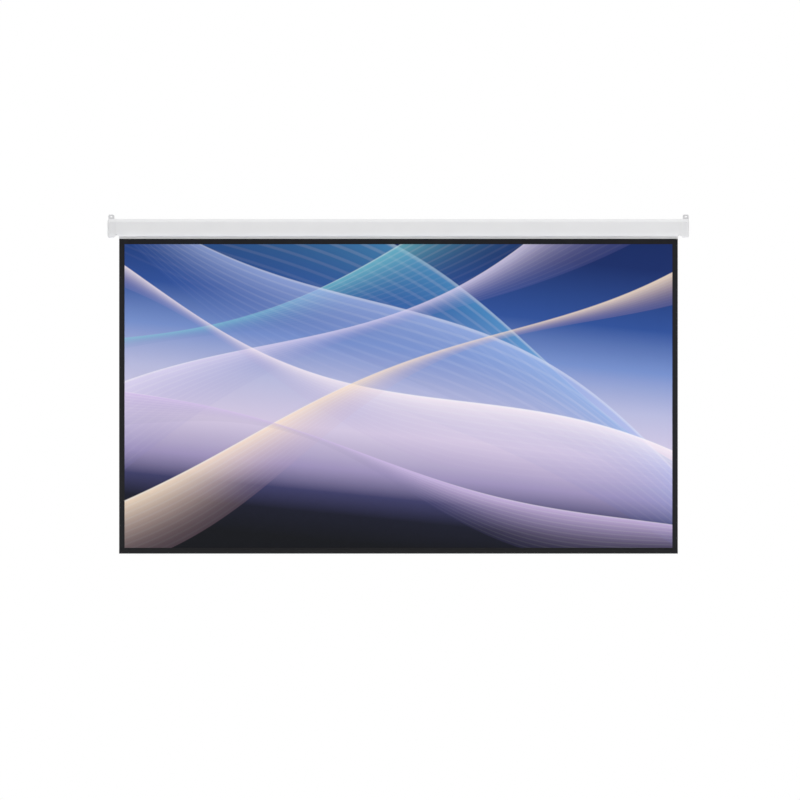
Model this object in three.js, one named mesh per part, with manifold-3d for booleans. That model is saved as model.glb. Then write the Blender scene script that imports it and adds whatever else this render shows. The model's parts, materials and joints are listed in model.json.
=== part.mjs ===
// Pull-down projector screen. A spring roller turns in a long wall case, a cloth hangs from it through
// a slot, and a weighted hem is pulled down by hand until a pawl drops into a ratchet.
// World frame: +X along the case, -Y out of the wall, +Z up. The origin lies on the wall plane, midway
// between the two hanging holes in the ears of the end caps.
import * as THREE from "three";
import { mergeVertices } from "three/addons/utils/BufferGeometryUtils.js";
import Module from "manifold-3d";

const wasm = await Module();
wasm.setup();

// All lengths are millimetres. Picture, borders and cloth
const pictureWidth = 2214;
const pictureHeight = 1225;
const sideBorder = 21;
const topBorder = 22;
const hemHeight = 22.6;
const leaderBelowCase = 10;
const clothThickness = 0.5;

// Case section
const hangHoleRise = 8.9;
const caseBackGap = 1.5;
const rearLip = 4.8;
const rollFrontRoom = 16;
const rollTopRoom = 16;
const rollBottomRoom = 16.6;
const caseWall = 1.2;
const topChamfer = 12;
const noseHeight = 18;
const noseDepth = 12;
const rearChamfer = 6;
const bendRadius = 2;
const lipReturn = 5;
const slotRearRoom = 4.2;
const slotFrontRoom = 5.5;
const clothEndRoom = 10.5;
const mitreHeight = 9.5;

// End caps
const capLength = 34.8;
const capCrown = 6;
const capCrownInset = 13;
const capWall = 3.5;
const capEndWall = 5;
const capFootDrop = 3.8;
const capFootRise = 9;
const capFootRun = 11;
const capToeRise = 2;
const capToeRun = 20;
const spigotLength = 15;
const spigotWall = 2;
const spigotRoot = 6;
const earWidth = 24;
const earInset = 1.5;
const earRise = 18.6;
const earRoot = 13;
const earDepth = 8;
const earCornerRadius = 5;
const earSlotLength = 9;
const earSlotWidth = 4.5;

// Clearances
const seatGap = 0.3;
const runGap = 0.3;
const stopGap = 1;
const cutOver = 4;

// Roller
const tubeRadius = 19;
const tubeWall = 1;
const leaderBuild = 0.9;
const rollerTurns = 9.5;
const plugFlange = 4;
const plugFlangeProud = 3;
const plugBarrel = 30;
const flangeGap = 0.6;

// Spindle, ratchet and pawls
const spindleRadius = 4;
const spindleFlat = 3;
const plateThickness = 2;
const plateSideRoom = 1;
const plateTopRoom = 7;
const plateCorner = 6;
const plateReturn = 10;
const ratchetStandoff = 5;
const ratchetWidth = 8;
const ratchetRadius = 9.6;
const notchDepth = 2.4;
const toothGap = 0.4;
const pawlSideGap = 0.5;
const pawlRideGap = 1.4;
const pawlArm = 4.8;
const pawlPinRadius = 1.4;
const pawlPinHead = 2.6;
const pawlPinHeadThickness = 1.2;
const pawlPinDepth = 3;

// Torsion spring and what it pulls on
const collarInset = 48;
const collarWidth = 10;
const collarProud = 1.9;
const wireRadius = 1.1;
const coilRoom = 4.9;
const coilPitch = 5;
const coilBend = 3;
const anchorWidth = 20;
const anchorDepth = 15;

// Idle end
const bushRadius = 7;
const bushFlangeProud = 2.5;
const bushFlange = 2;
const idlePinReach = 0.9;

// Hem, its weight and the finger pull
const pocketWall = 0.6;
const hemNeck = 6;
const hemNeckHalf = 0.75;
const hemTubeRadius = 6;
const hemTubeWall = 1.4;
const hemPlugHead = 2;
const hemPlugBarrel = 12;
const pullWidth = 72;
const pullThickness = 2.4;
const pullRise = 5;
const pullLedge = 5.4;
const pullTip = 3;
const pullScrewSpacing = 48;
const pullScrewRadius = 1.4;
const pullScrewHead = 2.8;
const pullScrewHeadThickness = 1.4;
const pullScrewReach = 3;

// Cap screws
const capScrewRadius = 1.8;
const capScrewHead = 4;
const capScrewHeadThickness = 2.2;
const capScrewRecess = 2.5;
const capScrewOffset = 18;
const capScrewTail = 2.5;

// Angles in degrees, counts and shares
const pawlLift = 18;
const pawlStart = 60;
const toothLead = 62;
const toothHeel = 57;
const toothBack = 48;
const notchLead = 64.5;
const notchHeel = 54;
const notchRamp = 38;
const pawlCount = 2;
const wrapAngle = 70;
const hemShoulder = 50;
const coilCount = 36;
const coilSteps = 8;
const coilSides = 5;
const roundSteps = 32;
const smallSteps = 16;
const bendSteps = 3;
const noseSteps = 6;
const domeSteps = 4;
const straightShare = 0.97;
const half = 1 / 2;

// Places worked out from the sizes above. In section, x is depth (wall at 0), y is height
const caseTop = -hangHoleRise;
const rollerY = caseTop - rollTopRoom - tubeRadius;
const caseBottom = rollerY - tubeRadius - rollBottomRoom;
const hemBottom = caseBottom - leaderBelowCase - topBorder - pictureHeight - hemHeight;
const hemTop = hemBottom + hemHeight;
const backFace = -caseBackGap;
const clothHalf = pictureWidth * half + sideBorder;
const shellHalf = clothHalf + clothEndRoom;
const capHalf = shellHalf + capLength;
const leaderRadius = tubeRadius + leaderBuild;
const clothRadius = leaderRadius + seatGap + clothThickness * half;
const slotRear = backFace - rearChamfer - rearLip;
const clothX = slotRear - slotRearRoom;
const slotFront = clothX - slotFrontRoom;
const rollerX = clothX - clothRadius;
const frontFace = rollerX - tubeRadius - rollFrontRoom;
const capBottom = caseBottom - capFootDrop;
const capInner = capHalf - capEndWall;
const earOuter = capHalf - earInset;
const earInner = earOuter - earWidth;
const plateOuter = capInner - seatGap;
const plateInner = plateOuter - plateThickness;
const ratchetOuter = plateInner - ratchetStandoff;
const ratchetInner = ratchetOuter - ratchetWidth;
const flangeOuter = ratchetInner - flangeGap;
const flangeInner = flangeOuter - plugFlange;
const tubeHalf = flangeInner - seatGap;
const tubeBore = tubeRadius - tubeWall;
const plugRadius = tubeBore - seatGap;
const plugFlangeRadius = tubeRadius + plugFlangeProud;
const plateWidth = 2 * (tubeRadius + plateSideRoom);
const plateHeight = 2 * (tubeRadius + plateTopRoom);
const notchRadius = ratchetRadius - notchDepth;
const toothRadius = notchRadius + toothGap;
const pawlThickness = ratchetWidth - 2 * pawlSideGap;
const pawlPinOrbit = ratchetRadius + pawlRideGap + pawlArm * half;
const coilRadius = tubeBore - coilRoom - wireRadius;
const collarRadius = coilRadius + wireRadius + collarProud;
const bushFlangeRadius = bushRadius + bushFlangeProud;
const hemRadius = hemTubeRadius + seatGap + pocketWall;
const boreRadius = spindleRadius + runGap;
const collarOuter = tubeHalf - collarInset;
const collarInner = collarOuter - collarWidth;
const springOuter = collarInner - seatGap;
const springLeg = wireRadius * 2;
const springLength = coilCount * coilPitch + 2 * (springLeg + coilBend);
const springInner = springOuter - springLength;
const anchorOuter = springInner - seatGap;
const anchorInner = anchorOuter - anchorWidth;
const spindleEnd = anchorOuter - anchorDepth;
const hemCentre = hemBottom + hemRadius;
const lowestLip = caseBottom - stopGap - hemRadius;
const dropTravel = lowestLip - hemCentre;

const degrees = Math.PI / 180;
const millimetresInMetre = 1000;
const point = (x, y) => new THREE.Vector2(x, y);

// Shapes and paths

// A point at a radius and an angle in degrees round a centre.
function polar(radius, angle, centreX = 0, centreY = 0) {
  return point(centreX + radius * Math.cos(angle * degrees), centreY + radius * Math.sin(angle * degrees));
}

// Points on an arc from one angle to another, both ends included.
function arc(radius, from, to, steps, centreX = 0, centreY = 0) {
  return Array.from({ length: steps + 1 }, (_, i) => {
    return polar(radius, from + ((to - from) * i) / steps, centreX, centreY);
  });
}

// The same corners with each inner corner bent to a radius. A closed path also bends its ends.
function bent(corners, radius, closed = false) {
  const count = corners.length;
  return corners.flatMap((corner, i) => {
    if (!closed && (i === 0 || i === count - 1)) return [corner.clone()];
    const before = corners[(i + count - 1) % count].clone().sub(corner);
    const after = corners[(i + 1) % count].clone().sub(corner);
    const opening = before.angleTo(after);
    const reach = Math.min(radius / Math.tan(opening * half), before.length() * half, after.length() * half);
    const start = corner.clone().add(before.setLength(reach));
    const end = corner.clone().add(after.setLength(reach));
    const curve = new THREE.QuadraticBezierCurve(start, corner, end);
    return opening > Math.PI * straightShare ? [corner.clone()] : curve.getPoints(bendSteps);
  });
}

// The path moved to its left by a distance, with its corners kept sharp.
function movedLeft(path, distance, closed = false) {
  const count = path.length;
  return path.map((here, i) => {
    const before = path[closed ? (i + count - 1) % count : Math.max(i - 1, 0)];
    const after = path[closed ? (i + 1) % count : Math.min(i + 1, count - 1)];
    const first = (before === here ? after.clone().sub(here) : here.clone().sub(before)).normalize();
    const second = (after === here ? first.clone() : after.clone().sub(here)).normalize();
    const across = point(-first.y - second.y, first.x + second.x).normalize();
    const reach = distance / (across.x * -first.y + across.y * first.x);
    return here.clone().add(across.multiplyScalar(reach));
  });
}

function shapeOf(outline, holes = []) {
  const shape = new THREE.Shape(outline);
  shape.holes = holes.map((hole) => new THREE.Path(hole));
  return shape;
}

const circle = (radius, steps, x = 0, y = 0) => arc(radius, 0, 360, steps, x, y).slice(0, -1);

// Solids

// An outline carried from one station to another along the case.
function along(outline, from, to, holes = []) {
  const depth = Math.abs(to - from);
  const geometry = new THREE.ExtrudeGeometry(shapeOf(outline, holes), { depth, bevelEnabled: false });
  return geometry.translate(0, 0, Math.min(from, to));
}

// An outline drawn in height and station, carried through the depth of the case, wall side first.
function through(outline, from, to) {
  const depth = Math.abs(to - from);
  const geometry = new THREE.ExtrudeGeometry(shapeOf(outline), { depth, bevelEnabled: false });
  return geometry.rotateY(-Math.PI * half).translate(Math.max(from, to), 0, 0);
}

// Rings of points joined by walls and closed by flat ends, first ring to last.
function lofted(rings) {
  const count = rings[0].length;
  const positions = rings.flatMap((ring) => ring.flatMap((corner) => corner.toArray()));
  const index = [];
  for (let r = 0; r < rings.length - 1; r += 1) {
    for (let i = 0; i < count; i += 1) {
      const j = (i + 1) % count;
      const low = r * count;
      const high = low + count;
      index.push(low + i, low + j, high + j, low + i, high + j, high + i);
    }
  }
  const flat = rings[0].map((corner) => point(corner.x, corner.y));
  const last = (rings.length - 1) * count;
  for (const [a, b, c] of THREE.ShapeUtils.triangulateShape(flat, [])) {
    index.push(a, c, b, last + a, last + b, last + c);
  }
  const geometry = new THREE.BufferGeometry();
  geometry.setAttribute("position", new THREE.Float32BufferAttribute(positions, 3));
  geometry.setIndex(index);
  return geometry;
}

function solidOf(geometry) {
  const bare = geometry.clone();
  bare.deleteAttribute("normal");
  bare.deleteAttribute("uv");
  const merged = mergeVertices(bare);
  const vertProperties = merged.attributes.position.array;
  const triVerts = new Uint32Array(merged.index.array);
  return new wasm.Manifold(new wasm.Mesh({ numProp: 3, vertProperties, triVerts }));
}

function geometryOf(solid) {
  const mesh = solid.getMesh();
  const geometry = new THREE.BufferGeometry();
  geometry.setAttribute("position", new THREE.Float32BufferAttribute(mesh.vertProperties, 3));
  geometry.setIndex([...mesh.triVerts]);
  return geometry;
}

const joined = (geometries) => geometries.map(solidOf).reduce((sum, solid) => sum.add(solid));
const without = (solid, tools) => tools.map(solidOf).reduce((rest, tool) => rest.subtract(tool), solid);

// Finishes
function finish(color, roughness, metalness = 0) {
  return () => new THREE.MeshStandardMaterial({ color, roughness, metalness });
}

const whitePaint = finish(0xe9e9ea, 0.45);
const whitePlastic = finish(0xe6e6e7, 0.5);
const zincSteel = finish(0xb9bcc0, 0.38, 0.9);
const springSteel = finish(0x8f9296, 0.35, 0.95);
const blackPlastic = finish(0x1f2022, 0.55);
const nylon = finish(0xdedbd0, 0.5);
const whiteCloth = finish(0xf1f1ef, 0.95);
const blackCloth = finish(0x222226, 0.9);
const drawnAluminium = finish(0xc6c8ca, 0.4, 0.9);

function piece(name, geometry, material) {
  const flat = geometry.index ? geometry.toNonIndexed() : geometry;
  flat.computeVertexNormals();
  const mesh = new THREE.Mesh(flat, material());
  mesh.name = name;
  return mesh;
}

// Case

// The outline from the slot's rear lip, up the back, over the top and down the face.
function casePath(back, bottom) {
  const nose = Array.from({ length: noseSteps + 1 }, (_, i) => {
    const turn = (Math.PI * half * i) / noseSteps;
    const rise = (noseHeight + caseBottom - bottom) * (1 - Math.sin(turn));
    return point(frontFace + noseDepth * (1 - Math.cos(turn)), bottom + rise);
  });
  return [
    point(back - rearChamfer, bottom),
    point(back, bottom + rearChamfer),
    point(back, caseTop - rearChamfer),
    point(back - rearChamfer, caseTop),
    point(frontFace + topChamfer, caseTop),
    point(frontFace, caseTop - topChamfer),
    ...nose,
  ];
}

function caseShell() {
  const lipTop = caseBottom + lipReturn;
  const path = bent([
    point(slotRear, lipTop),
    point(slotRear, caseBottom),
    ...casePath(backFace, caseBottom),
    point(slotFront, caseBottom),
    point(slotFront, lipTop),
  ], bendRadius);
  const end = shellHalf - seatGap;
  const body = along([...path, ...movedLeft(path, caseWall).reverse()], -end, end);
  const mitres = [-1, 1].map((side) => through([
    point(side * clothHalf, caseBottom),
    point(side * clothHalf, caseBottom - cutOver),
    point(side * (shellHalf + cutOver), caseBottom - cutOver),
    point(side * (shellHalf + cutOver), caseBottom + mitreHeight + (cutOver * mitreHeight) / clothEndRoom),
  ], cutOver, frontFace - cutOver));
  return piece("case_shell", geometryOf(without(solidOf(body), mitres)), whitePaint);
}

// End caps, drawn for the right end and turned over for the left

// The outer body. Its rings shrink from the front, the top and the foot, and stay square at the wall.
function capBody() {
  const outline = bent(casePath(0, capBottom), bendRadius, true);
  const middle = (caseTop + capBottom) * half;
  const ring = (station, inset) => outline.map((corner) => new THREE.Vector3(
    corner.x * (1 + inset / frontFace),
    middle + (corner.y - middle) * (1 - inset / (caseTop - middle)),
    station,
  ));
  const crown = Array.from({ length: domeSteps + 1 }, (_, i) => {
    const turn = (Math.PI * half * i) / domeSteps;
    return ring(capHalf - capCrown * (1 - Math.sin(turn)), capCrownInset * (1 - Math.cos(turn)));
  });
  return lofted([ring(shellHalf, 0), ...crown]);
}

// What lies below the foot's slope and toe, raised by a wall or by nothing.
function belowFoot(raised) {
  const low = capBottom - cutOver;
  const steep = (capFootRise - capToeRise) / capFootRun;
  return through([
    point(shellHalf - cutOver, low),
    point(capHalf + cutOver, low),
    point(capHalf + cutOver, capBottom + raised),
    point(shellHalf + capFootRun + capToeRun, capBottom + raised),
    point(shellHalf + capFootRun, capBottom + capToeRise + raised),
    point(shellHalf - cutOver, capBottom + capFootRise + cutOver * steep + raised),
  ], cutOver, frontFace - cutOver);
}

// The hanging ear: a flat lug on the wall side with rounded top corners, rooted in the cap's back.
function earBody() {
  const top = caseTop + earRise;
  const foot = caseTop - earRoot;
  return through([
    point(earInner, foot),
    point(earOuter, foot),
    ...arc(earCornerRadius, 0, 90, bendSteps, earOuter - earCornerRadius, top - earCornerRadius),
    ...arc(earCornerRadius, 90, 180, bendSteps, earInner + earCornerRadius, top - earCornerRadius),
  ], 0, -earDepth);
}

function earSlot() {
  const middle = (earInner + earOuter) * half;
  const radius = earSlotWidth * half;
  const reach = earSlotLength * half - radius;
  return through([
    ...arc(radius, -90, 90, smallSteps * half, middle + reach, 0),
    ...arc(radius, 90, 270, smallSteps * half, middle - reach, 0),
  ], cutOver, -earDepth - cutOver);
}

function endCap(name, side) {
  const sleeve = movedLeft(casePath(backFace, caseBottom), caseWall + seatGap, true);
  const bore = movedLeft(casePath(backFace, caseBottom), caseWall + seatGap + spigotWall, true);
  const hollow = movedLeft(casePath(0, capBottom), capWall, true);
  const spigotEnd = shellHalf - spigotLength;
  const belowSpigot = [
    point(frontFace - cutOver, caseBottom - cutOver),
    point(cutOver, caseBottom - cutOver),
    point(cutOver, caseBottom + mitreHeight + cutOver),
    point(frontFace - cutOver, caseBottom + mitreHeight + cutOver),
  ];
  const spigot = without(solidOf(along(sleeve, spigotEnd, shellHalf + spigotRoot)), [
    along(belowSpigot, spigotEnd - cutOver, shellHalf + spigotRoot + cutOver),
  ]);
  const screwPlaces = [-1, 1].map((rise) => [rollerX, rollerY + rise * capScrewOffset]);
  const cuts = screwPlaces.flatMap(([x, y]) => [
    along(circle(capScrewRadius + runGap, smallSteps, x, y), capInner - cutOver, capHalf + cutOver),
    along(circle(capScrewHead + runGap, smallSteps, x, y), capHalf - capScrewRecess, capHalf + cutOver),
  ]);
  const outer = without(joined([capBody(), earBody()]), [belowFoot(0)]);
  const room = without(solidOf(along(hollow, shellHalf - cutOver, capInner)), [belowFoot(capWall)]);
  const mouth = along(bore, spigotEnd - cutOver, shellHalf + spigotRoot + cutOver);
  const upperMouth = without(solidOf(mouth), [along(belowSpigot, spigotEnd - cutOver, shellHalf + capLength)]);
  const shell = outer.subtract(room).add(spigot).subtract(upperMouth);
  const cap = without(shell, [earSlot(), ...cuts]);
  return piece(name, mirrored(geometryOf(cap), side), whitePlastic);
}

// The right-hand solid, or its mirror image for the left end.
function mirrored(geometry, side) {
  if (side > 0) return geometry;
  const flipped = geometry.scale(1, 1, -1);
  const index = [];
  for (let i = 0; i < flipped.index.count; i += 3) {
    index.push(flipped.index.getX(i), flipped.index.getX(i + 2), flipped.index.getX(i + 1));
  }
  flipped.setIndex(index);
  return flipped;
}

function capScrew(name, side, rise) {
  const profile = [
    point(0, plateInner - capScrewTail),
    point(capScrewRadius, plateInner - capScrewTail),
    point(capScrewRadius, capHalf - capScrewRecess + seatGap),
    point(capScrewHead, capHalf - capScrewRecess + seatGap),
    point(capScrewHead, capHalf - capScrewRecess + capScrewHeadThickness),
    point(0, capHalf - capScrewRecess + capScrewHeadThickness),
  ];
  const mesh = piece(name, new THREE.LatheGeometry(profile, smallSteps), zincSteel);
  mesh.rotation.x = side * Math.PI * half;
  mesh.position.set(rollerX, rollerY + rise * capScrewOffset, 0);
  return mesh;
}

// Brackets, spindle and ratchet. These are drawn round the roller's axis

// A round bar with two flats.
function flattedCircle(radius, flat) {
  const turn = Math.asin(flat / radius) / degrees;
  const steps = smallSteps * half;
  return [...arc(radius, -turn, turn, steps), ...arc(radius, 180 - turn, 180 + turn, steps)];
}

// A pressed plate with its top and bottom edges bent inwards.
function bracket(name, side, seat) {
  const halfWidth = plateWidth * half;
  const halfHeight = plateHeight * half;
  const outline = [
    ...arc(plateCorner, -90, 0, bendSteps, halfWidth - plateCorner, plateCorner - halfHeight),
    ...arc(plateCorner, 0, 90, bendSteps, halfWidth - plateCorner, halfHeight - plateCorner),
    ...arc(plateCorner, 90, 180, bendSteps, plateCorner - halfWidth, halfHeight - plateCorner),
    ...arc(plateCorner, 180, 270, bendSteps, plateCorner - halfWidth, plateCorner - halfHeight),
  ];
  const lip = halfWidth - plateCorner;
  const returns = [-1, 1].map((rise) => along([
    point(-lip, rise * halfHeight - (rise > 0 ? plateThickness : 0)),
    point(lip, rise * halfHeight - (rise > 0 ? plateThickness : 0)),
    point(lip, rise * halfHeight + (rise > 0 ? 0 : plateThickness)),
    point(-lip, rise * halfHeight + (rise > 0 ? 0 : plateThickness)),
  ], plateInner - plateReturn, plateInner + plateThickness * half));
  const plate = joined([along(outline, plateInner, plateOuter), ...returns]);
  const screwHole = (rise) => circle(capScrewRadius + runGap, smallSteps, 0, rise * capScrewOffset);
  const holes = [seat, screwHole(-1), screwHole(1)].map((hole) => {
    return along(hole, plateInner - cutOver, plateOuter + cutOver);
  });
  return piece(name, mirrored(geometryOf(without(plate, holes)), side), zincSteel);
}

function spindle() {
  const outline = flattedCircle(spindleRadius, spindleFlat);
  return piece("spindle", along(outline, -plateOuter, -spindleEnd), zincSteel);
}

// The wheel's rim, with a steep face and a ramp at each notch.
function ratchetWheel() {
  const pitch = 360 / pawlCount;
  const rim = Array.from({ length: pawlCount }, (_, i) => {
    const turn = pawlStart + i * pitch;
    const rimSteps = roundSteps / pawlCount;
    return [
      ...arc(notchRadius, turn + notchHeel, turn + notchLead, 1),
      ...arc(ratchetRadius, turn + notchLead, turn + notchRamp + pitch, rimSteps),
    ];
  }).flat();
  const bore = flattedCircle(spindleRadius + seatGap, spindleFlat + seatGap);
  return piece("ratchet_wheel", along(rim, -ratchetOuter, -ratchetInner, [bore]), zincSteel);
}

// A hooked pawl, drawn engaged and then lifted about its pin, which is the mesh's own origin.
function pawl(name, turn) {
  const outer = pawlPinOrbit + pawlArm * half;
  const inner = pawlPinOrbit - pawlArm * half;
  const outline = [
    ...arc(outer, 0, toothLead, smallSteps * half),
    polar(toothRadius, toothLead),
    polar(toothRadius, toothHeel),
    ...arc(inner, toothBack, 0, smallSteps * half),
    ...arc(pawlArm * half, 180, 360, smallSteps * half, pawlPinOrbit, 0).slice(1, -1),
  ];
  const hole = circle(pawlPinRadius + runGap, smallSteps, pawlPinOrbit, 0);
  const middle = -(ratchetOuter + ratchetInner) * half;
  const geometry = along(outline, middle - pawlThickness * half, middle + pawlThickness * half, [hole]);
  const mesh = piece(name, geometry.translate(-pawlPinOrbit, 0, 0), zincSteel);
  const pin = polar(pawlPinOrbit, turn);
  mesh.position.set(pin.x, pin.y, 0);
  mesh.rotation.z = (turn - pawlLift) * degrees;
  return mesh;
}

function pawlPin(name, turn) {
  const headSeat = (ratchetOuter + ratchetInner + pawlThickness) * half + seatGap;
  const profile = [
    point(0, flangeOuter - pawlPinDepth),
    point(pawlPinRadius, flangeOuter - pawlPinDepth),
    point(pawlPinRadius, headSeat),
    point(pawlPinHead, headSeat),
    point(pawlPinHead, headSeat + pawlPinHeadThickness),
    point(0, headSeat + pawlPinHeadThickness),
  ];
  const mesh = piece(name, new THREE.LatheGeometry(profile, smallSteps), zincSteel);
  const pin = polar(pawlPinOrbit, turn);
  mesh.rotation.x = -Math.PI * half;
  mesh.position.set(pin.x, pin.y, 0);
  return mesh;
}

// Roller

// A bored plug with a flange outside the tube and a barrel inside it.
function endPlug(name, side, bore, pinTurns) {
  const body = joined([
    along(circle(plugFlangeRadius, roundSteps), flangeInner, flangeOuter),
    along(circle(plugRadius, roundSteps), tubeHalf - plugBarrel, flangeInner + plugFlange * half),
  ]);
  const pinHoles = pinTurns.map((turn) => {
    const pin = polar(pawlPinOrbit, turn);
    const depth = flangeOuter - pawlPinDepth - seatGap;
    return along(circle(pawlPinRadius + seatGap, smallSteps, pin.x, pin.y), depth, flangeOuter + cutOver);
  });
  const centreHole = along(circle(bore, smallSteps), tubeHalf - plugBarrel - cutOver, flangeOuter + cutOver);
  return piece(name, mirrored(geometryOf(without(body, [centreHole, ...pinHoles])), side), blackPlastic);
}

function sleeve(name, outer, inner, from, to, material, steps = roundSteps) {
  return piece(name, along(circle(outer, steps), from, to, [circle(inner, steps).reverse()]), material);
}

// Torsion spring: a helix with straight legs, bent square to the collar and to the anchor plug.
function torsionSpring() {
  const start = -springOuter + springLeg + coilBend;
  const climb = coilPitch / (coilRadius * 2 * Math.PI);
  const places = [];
  const radial = (turn) => new THREE.Vector3(Math.cos(turn), Math.sin(turn), 0);
  const around = (turn) => new THREE.Vector3(-Math.sin(turn), Math.cos(turn), 0);
  const end = coilCount * 2 * Math.PI;
  const leg = (turn, station, side) => {
    const base = radial(turn).multiplyScalar(coilRadius).setZ(station);
    const bend = Array.from({ length: coilSteps * half }, (_, i) => {
      const swing = (Math.PI * half * (i + 1)) / (coilSteps * half);
      const centre = base.clone()
        .add(around(turn).multiplyScalar(side * coilBend * Math.sin(swing)))
        .setZ(station + side * coilBend * (1 - Math.cos(swing)));
      const heading = around(turn).multiplyScalar(Math.cos(swing)).setZ(Math.sin(swing));
      return { centre, heading, out: radial(turn) };
    });
    const tip = bend[bend.length - 1].centre.clone().setZ(station + side * (coilBend + springLeg));
    bend.push({ centre: tip, heading: new THREE.Vector3(0, 0, 1), out: radial(turn) });
    return bend;
  };
  for (let i = 0; i <= coilCount * coilSteps; i += 1) {
    const turn = (i * 2 * Math.PI) / coilSteps;
    const centre = radial(turn).multiplyScalar(coilRadius).setZ(start + (coilPitch * i) / coilSteps);
    places.push({ centre, heading: around(turn).setZ(climb).normalize(), out: radial(turn) });
  }
  const first = leg(0, start, -1).reverse();
  const last = leg(end, start + coilCount * coilPitch, 1);
  const path = [...first, ...places, ...last];
  const rings = path.map(({ centre, heading, out }) => {
    const across = new THREE.Vector3().crossVectors(heading, out);
    return circle(wireRadius, coilSides).map((corner) => {
      return centre.clone().addScaledVector(out, corner.x).addScaledVector(across, corner.y);
    });
  });
  const gap = leastGap(places.map((place) => place.centre));
  console.log(`torsion spring: least gap to itself ${gap.toFixed(2)} mm`);
  return piece("torsion_spring", tubeOf(rings), springSteel);
}

// The least distance between turns, measured between wire surfaces.
function leastGap(centres) {
  const apart = coilSteps * half;
  let least = Infinity;
  centres.forEach((one, i) => {
    for (let j = i + apart; j < Math.min(centres.length, i + 2 * coilSteps); j += 1) {
      least = Math.min(least, one.distanceTo(centres[j]));
    }
  });
  return least - 2 * wireRadius;
}

// Rings of a bent tube joined in order and closed by a fan at each end.
function tubeOf(rings) {
  const count = rings[0].length;
  const positions = rings.flat().flatMap((corner) => corner.toArray());
  const index = [];
  for (let r = 0; r < rings.length - 1; r += 1) {
    for (let i = 0; i < count; i += 1) {
      const j = (i + 1) % count;
      const low = r * count;
      const high = low + count;
      index.push(low + i, low + j, high + j, low + i, high + j, high + i);
    }
  }
  const last = (rings.length - 1) * count;
  for (let i = 1; i < count - 1; i += 1) index.push(0, i + 1, i, last, last + i, last + i + 1);
  const geometry = new THREE.BufferGeometry();
  geometry.setAttribute("position", new THREE.Float32BufferAttribute(positions, 3));
  geometry.setIndex(index);
  return geometry;
}

function idlePin() {
  const outline = circle(spindleRadius, smallSteps);
  return piece("idle_pin", along(outline, tubeHalf - plugBarrel, plateOuter - idlePinReach), zincSteel);
}

function idleBush() {
  const profile = [
    point(boreRadius, plateInner - seatGap - bushFlange),
    point(bushFlangeRadius, plateInner - seatGap - bushFlange),
    point(bushFlangeRadius, plateInner - seatGap),
    point(bushRadius, plateInner - seatGap),
    point(bushRadius, plateOuter),
    point(boreRadius, plateOuter),
    point(boreRadius, plateInner - seatGap - bushFlange),
  ];
  const mesh = piece("idle_bush", new THREE.LatheGeometry(profile, roundSteps), nylon);
  mesh.rotation.x = Math.PI * half;
  return mesh;
}

// Cloth and hem

// The cloth leaves the roller over its rear and hangs down to the hem.
function screenSheet() {
  const over = arc(clothRadius, wrapAngle, 0, smallSteps * half, rollerX, rollerY);
  const middle = [...over, point(clothX, hemTop + seatGap)];
  const outer = movedLeft(middle, clothThickness * half);
  const inner = movedLeft(middle, -clothThickness * half).reverse();
  return piece("screen_sheet", along([...outer, ...inner].reverse(), -clothHalf, clothHalf), whiteCloth);
}

// The hem is a welded neck that opens into a round pocket for the weight.
function hemPocket() {
  const outline = [
    point(-hemNeckHalf, hemHeight - hemRadius),
    point(-hemNeckHalf, hemHeight - hemRadius - hemNeck),
    ...arc(hemRadius, 180 - hemShoulder, 360 + hemShoulder, roundSteps),
    point(hemNeckHalf, hemHeight - hemRadius - hemNeck),
    point(hemNeckHalf, hemHeight - hemRadius),
  ];
  const bore = circle(hemTubeRadius + seatGap, roundSteps).reverse();
  const pocket = solidOf(along(outline, -clothHalf, clothHalf, [bore]));
  return piece("hem_pocket", geometryOf(without(pocket, pullScrewHoles())), blackCloth);
}

const pullScrewPlaces = [-1, 1].map((side) => side * pullScrewSpacing * half);

function pullScrewHoles() {
  const radius = pullScrewRadius + runGap;
  return pullScrewPlaces.map((station) => {
    return through(circle(radius, smallSteps, station, 0), hemRadius + cutOver, 0);
  });
}

function hemTube() {
  const end = clothHalf - hemPlugHead - seatGap;
  const tube = along(circle(hemTubeRadius, roundSteps), -end, end,
    [circle(hemTubeRadius - hemTubeWall, roundSteps).reverse()]);
  return piece("hem_tube", geometryOf(without(solidOf(tube), pullScrewHoles())), drawnAluminium);
}

function hemPlug(name, side) {
  const seat = clothHalf - hemPlugHead;
  const profile = [
    point(0, seat - hemPlugBarrel),
    point(hemTubeRadius - hemTubeWall - seatGap, seat - hemPlugBarrel),
    point(hemTubeRadius - hemTubeWall - seatGap, seat),
    point(hemTubeRadius, seat),
    point(hemTubeRadius, clothHalf),
    point(0, clothHalf),
  ];
  const mesh = piece(name, new THREE.LatheGeometry(profile, smallSteps), blackPlastic);
  mesh.rotation.x = side * Math.PI * half;
  return mesh;
}

// A strip behind the hem with a ledge for the fingers and a turned-up tip.
function pullGrip() {
  const face = hemRadius + seatGap;
  const back = face + pullThickness;
  const outline = [
    point(face, -hemRadius),
    point(face + pullLedge, -hemRadius),
    point(face + pullLedge, pullTip - hemRadius),
    point(face + pullLedge - pullThickness * half, pullTip - hemRadius),
    point(face + pullLedge - pullThickness * half, pullThickness * half - hemRadius),
    point(back, pullThickness * half - hemRadius),
    point(back, pullRise),
    point(face, pullRise),
  ];
  const radius = pullScrewRadius + runGap;
  const holes = pullScrewPlaces.map((station) => {
    return through(circle(radius, smallSteps, station, 0), back + cutOver, face - cutOver * half);
  });
  const strip = solidOf(along(outline, -pullWidth * half, pullWidth * half));
  return piece("pull_grip", geometryOf(without(strip, holes)), blackPlastic);
}

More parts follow.
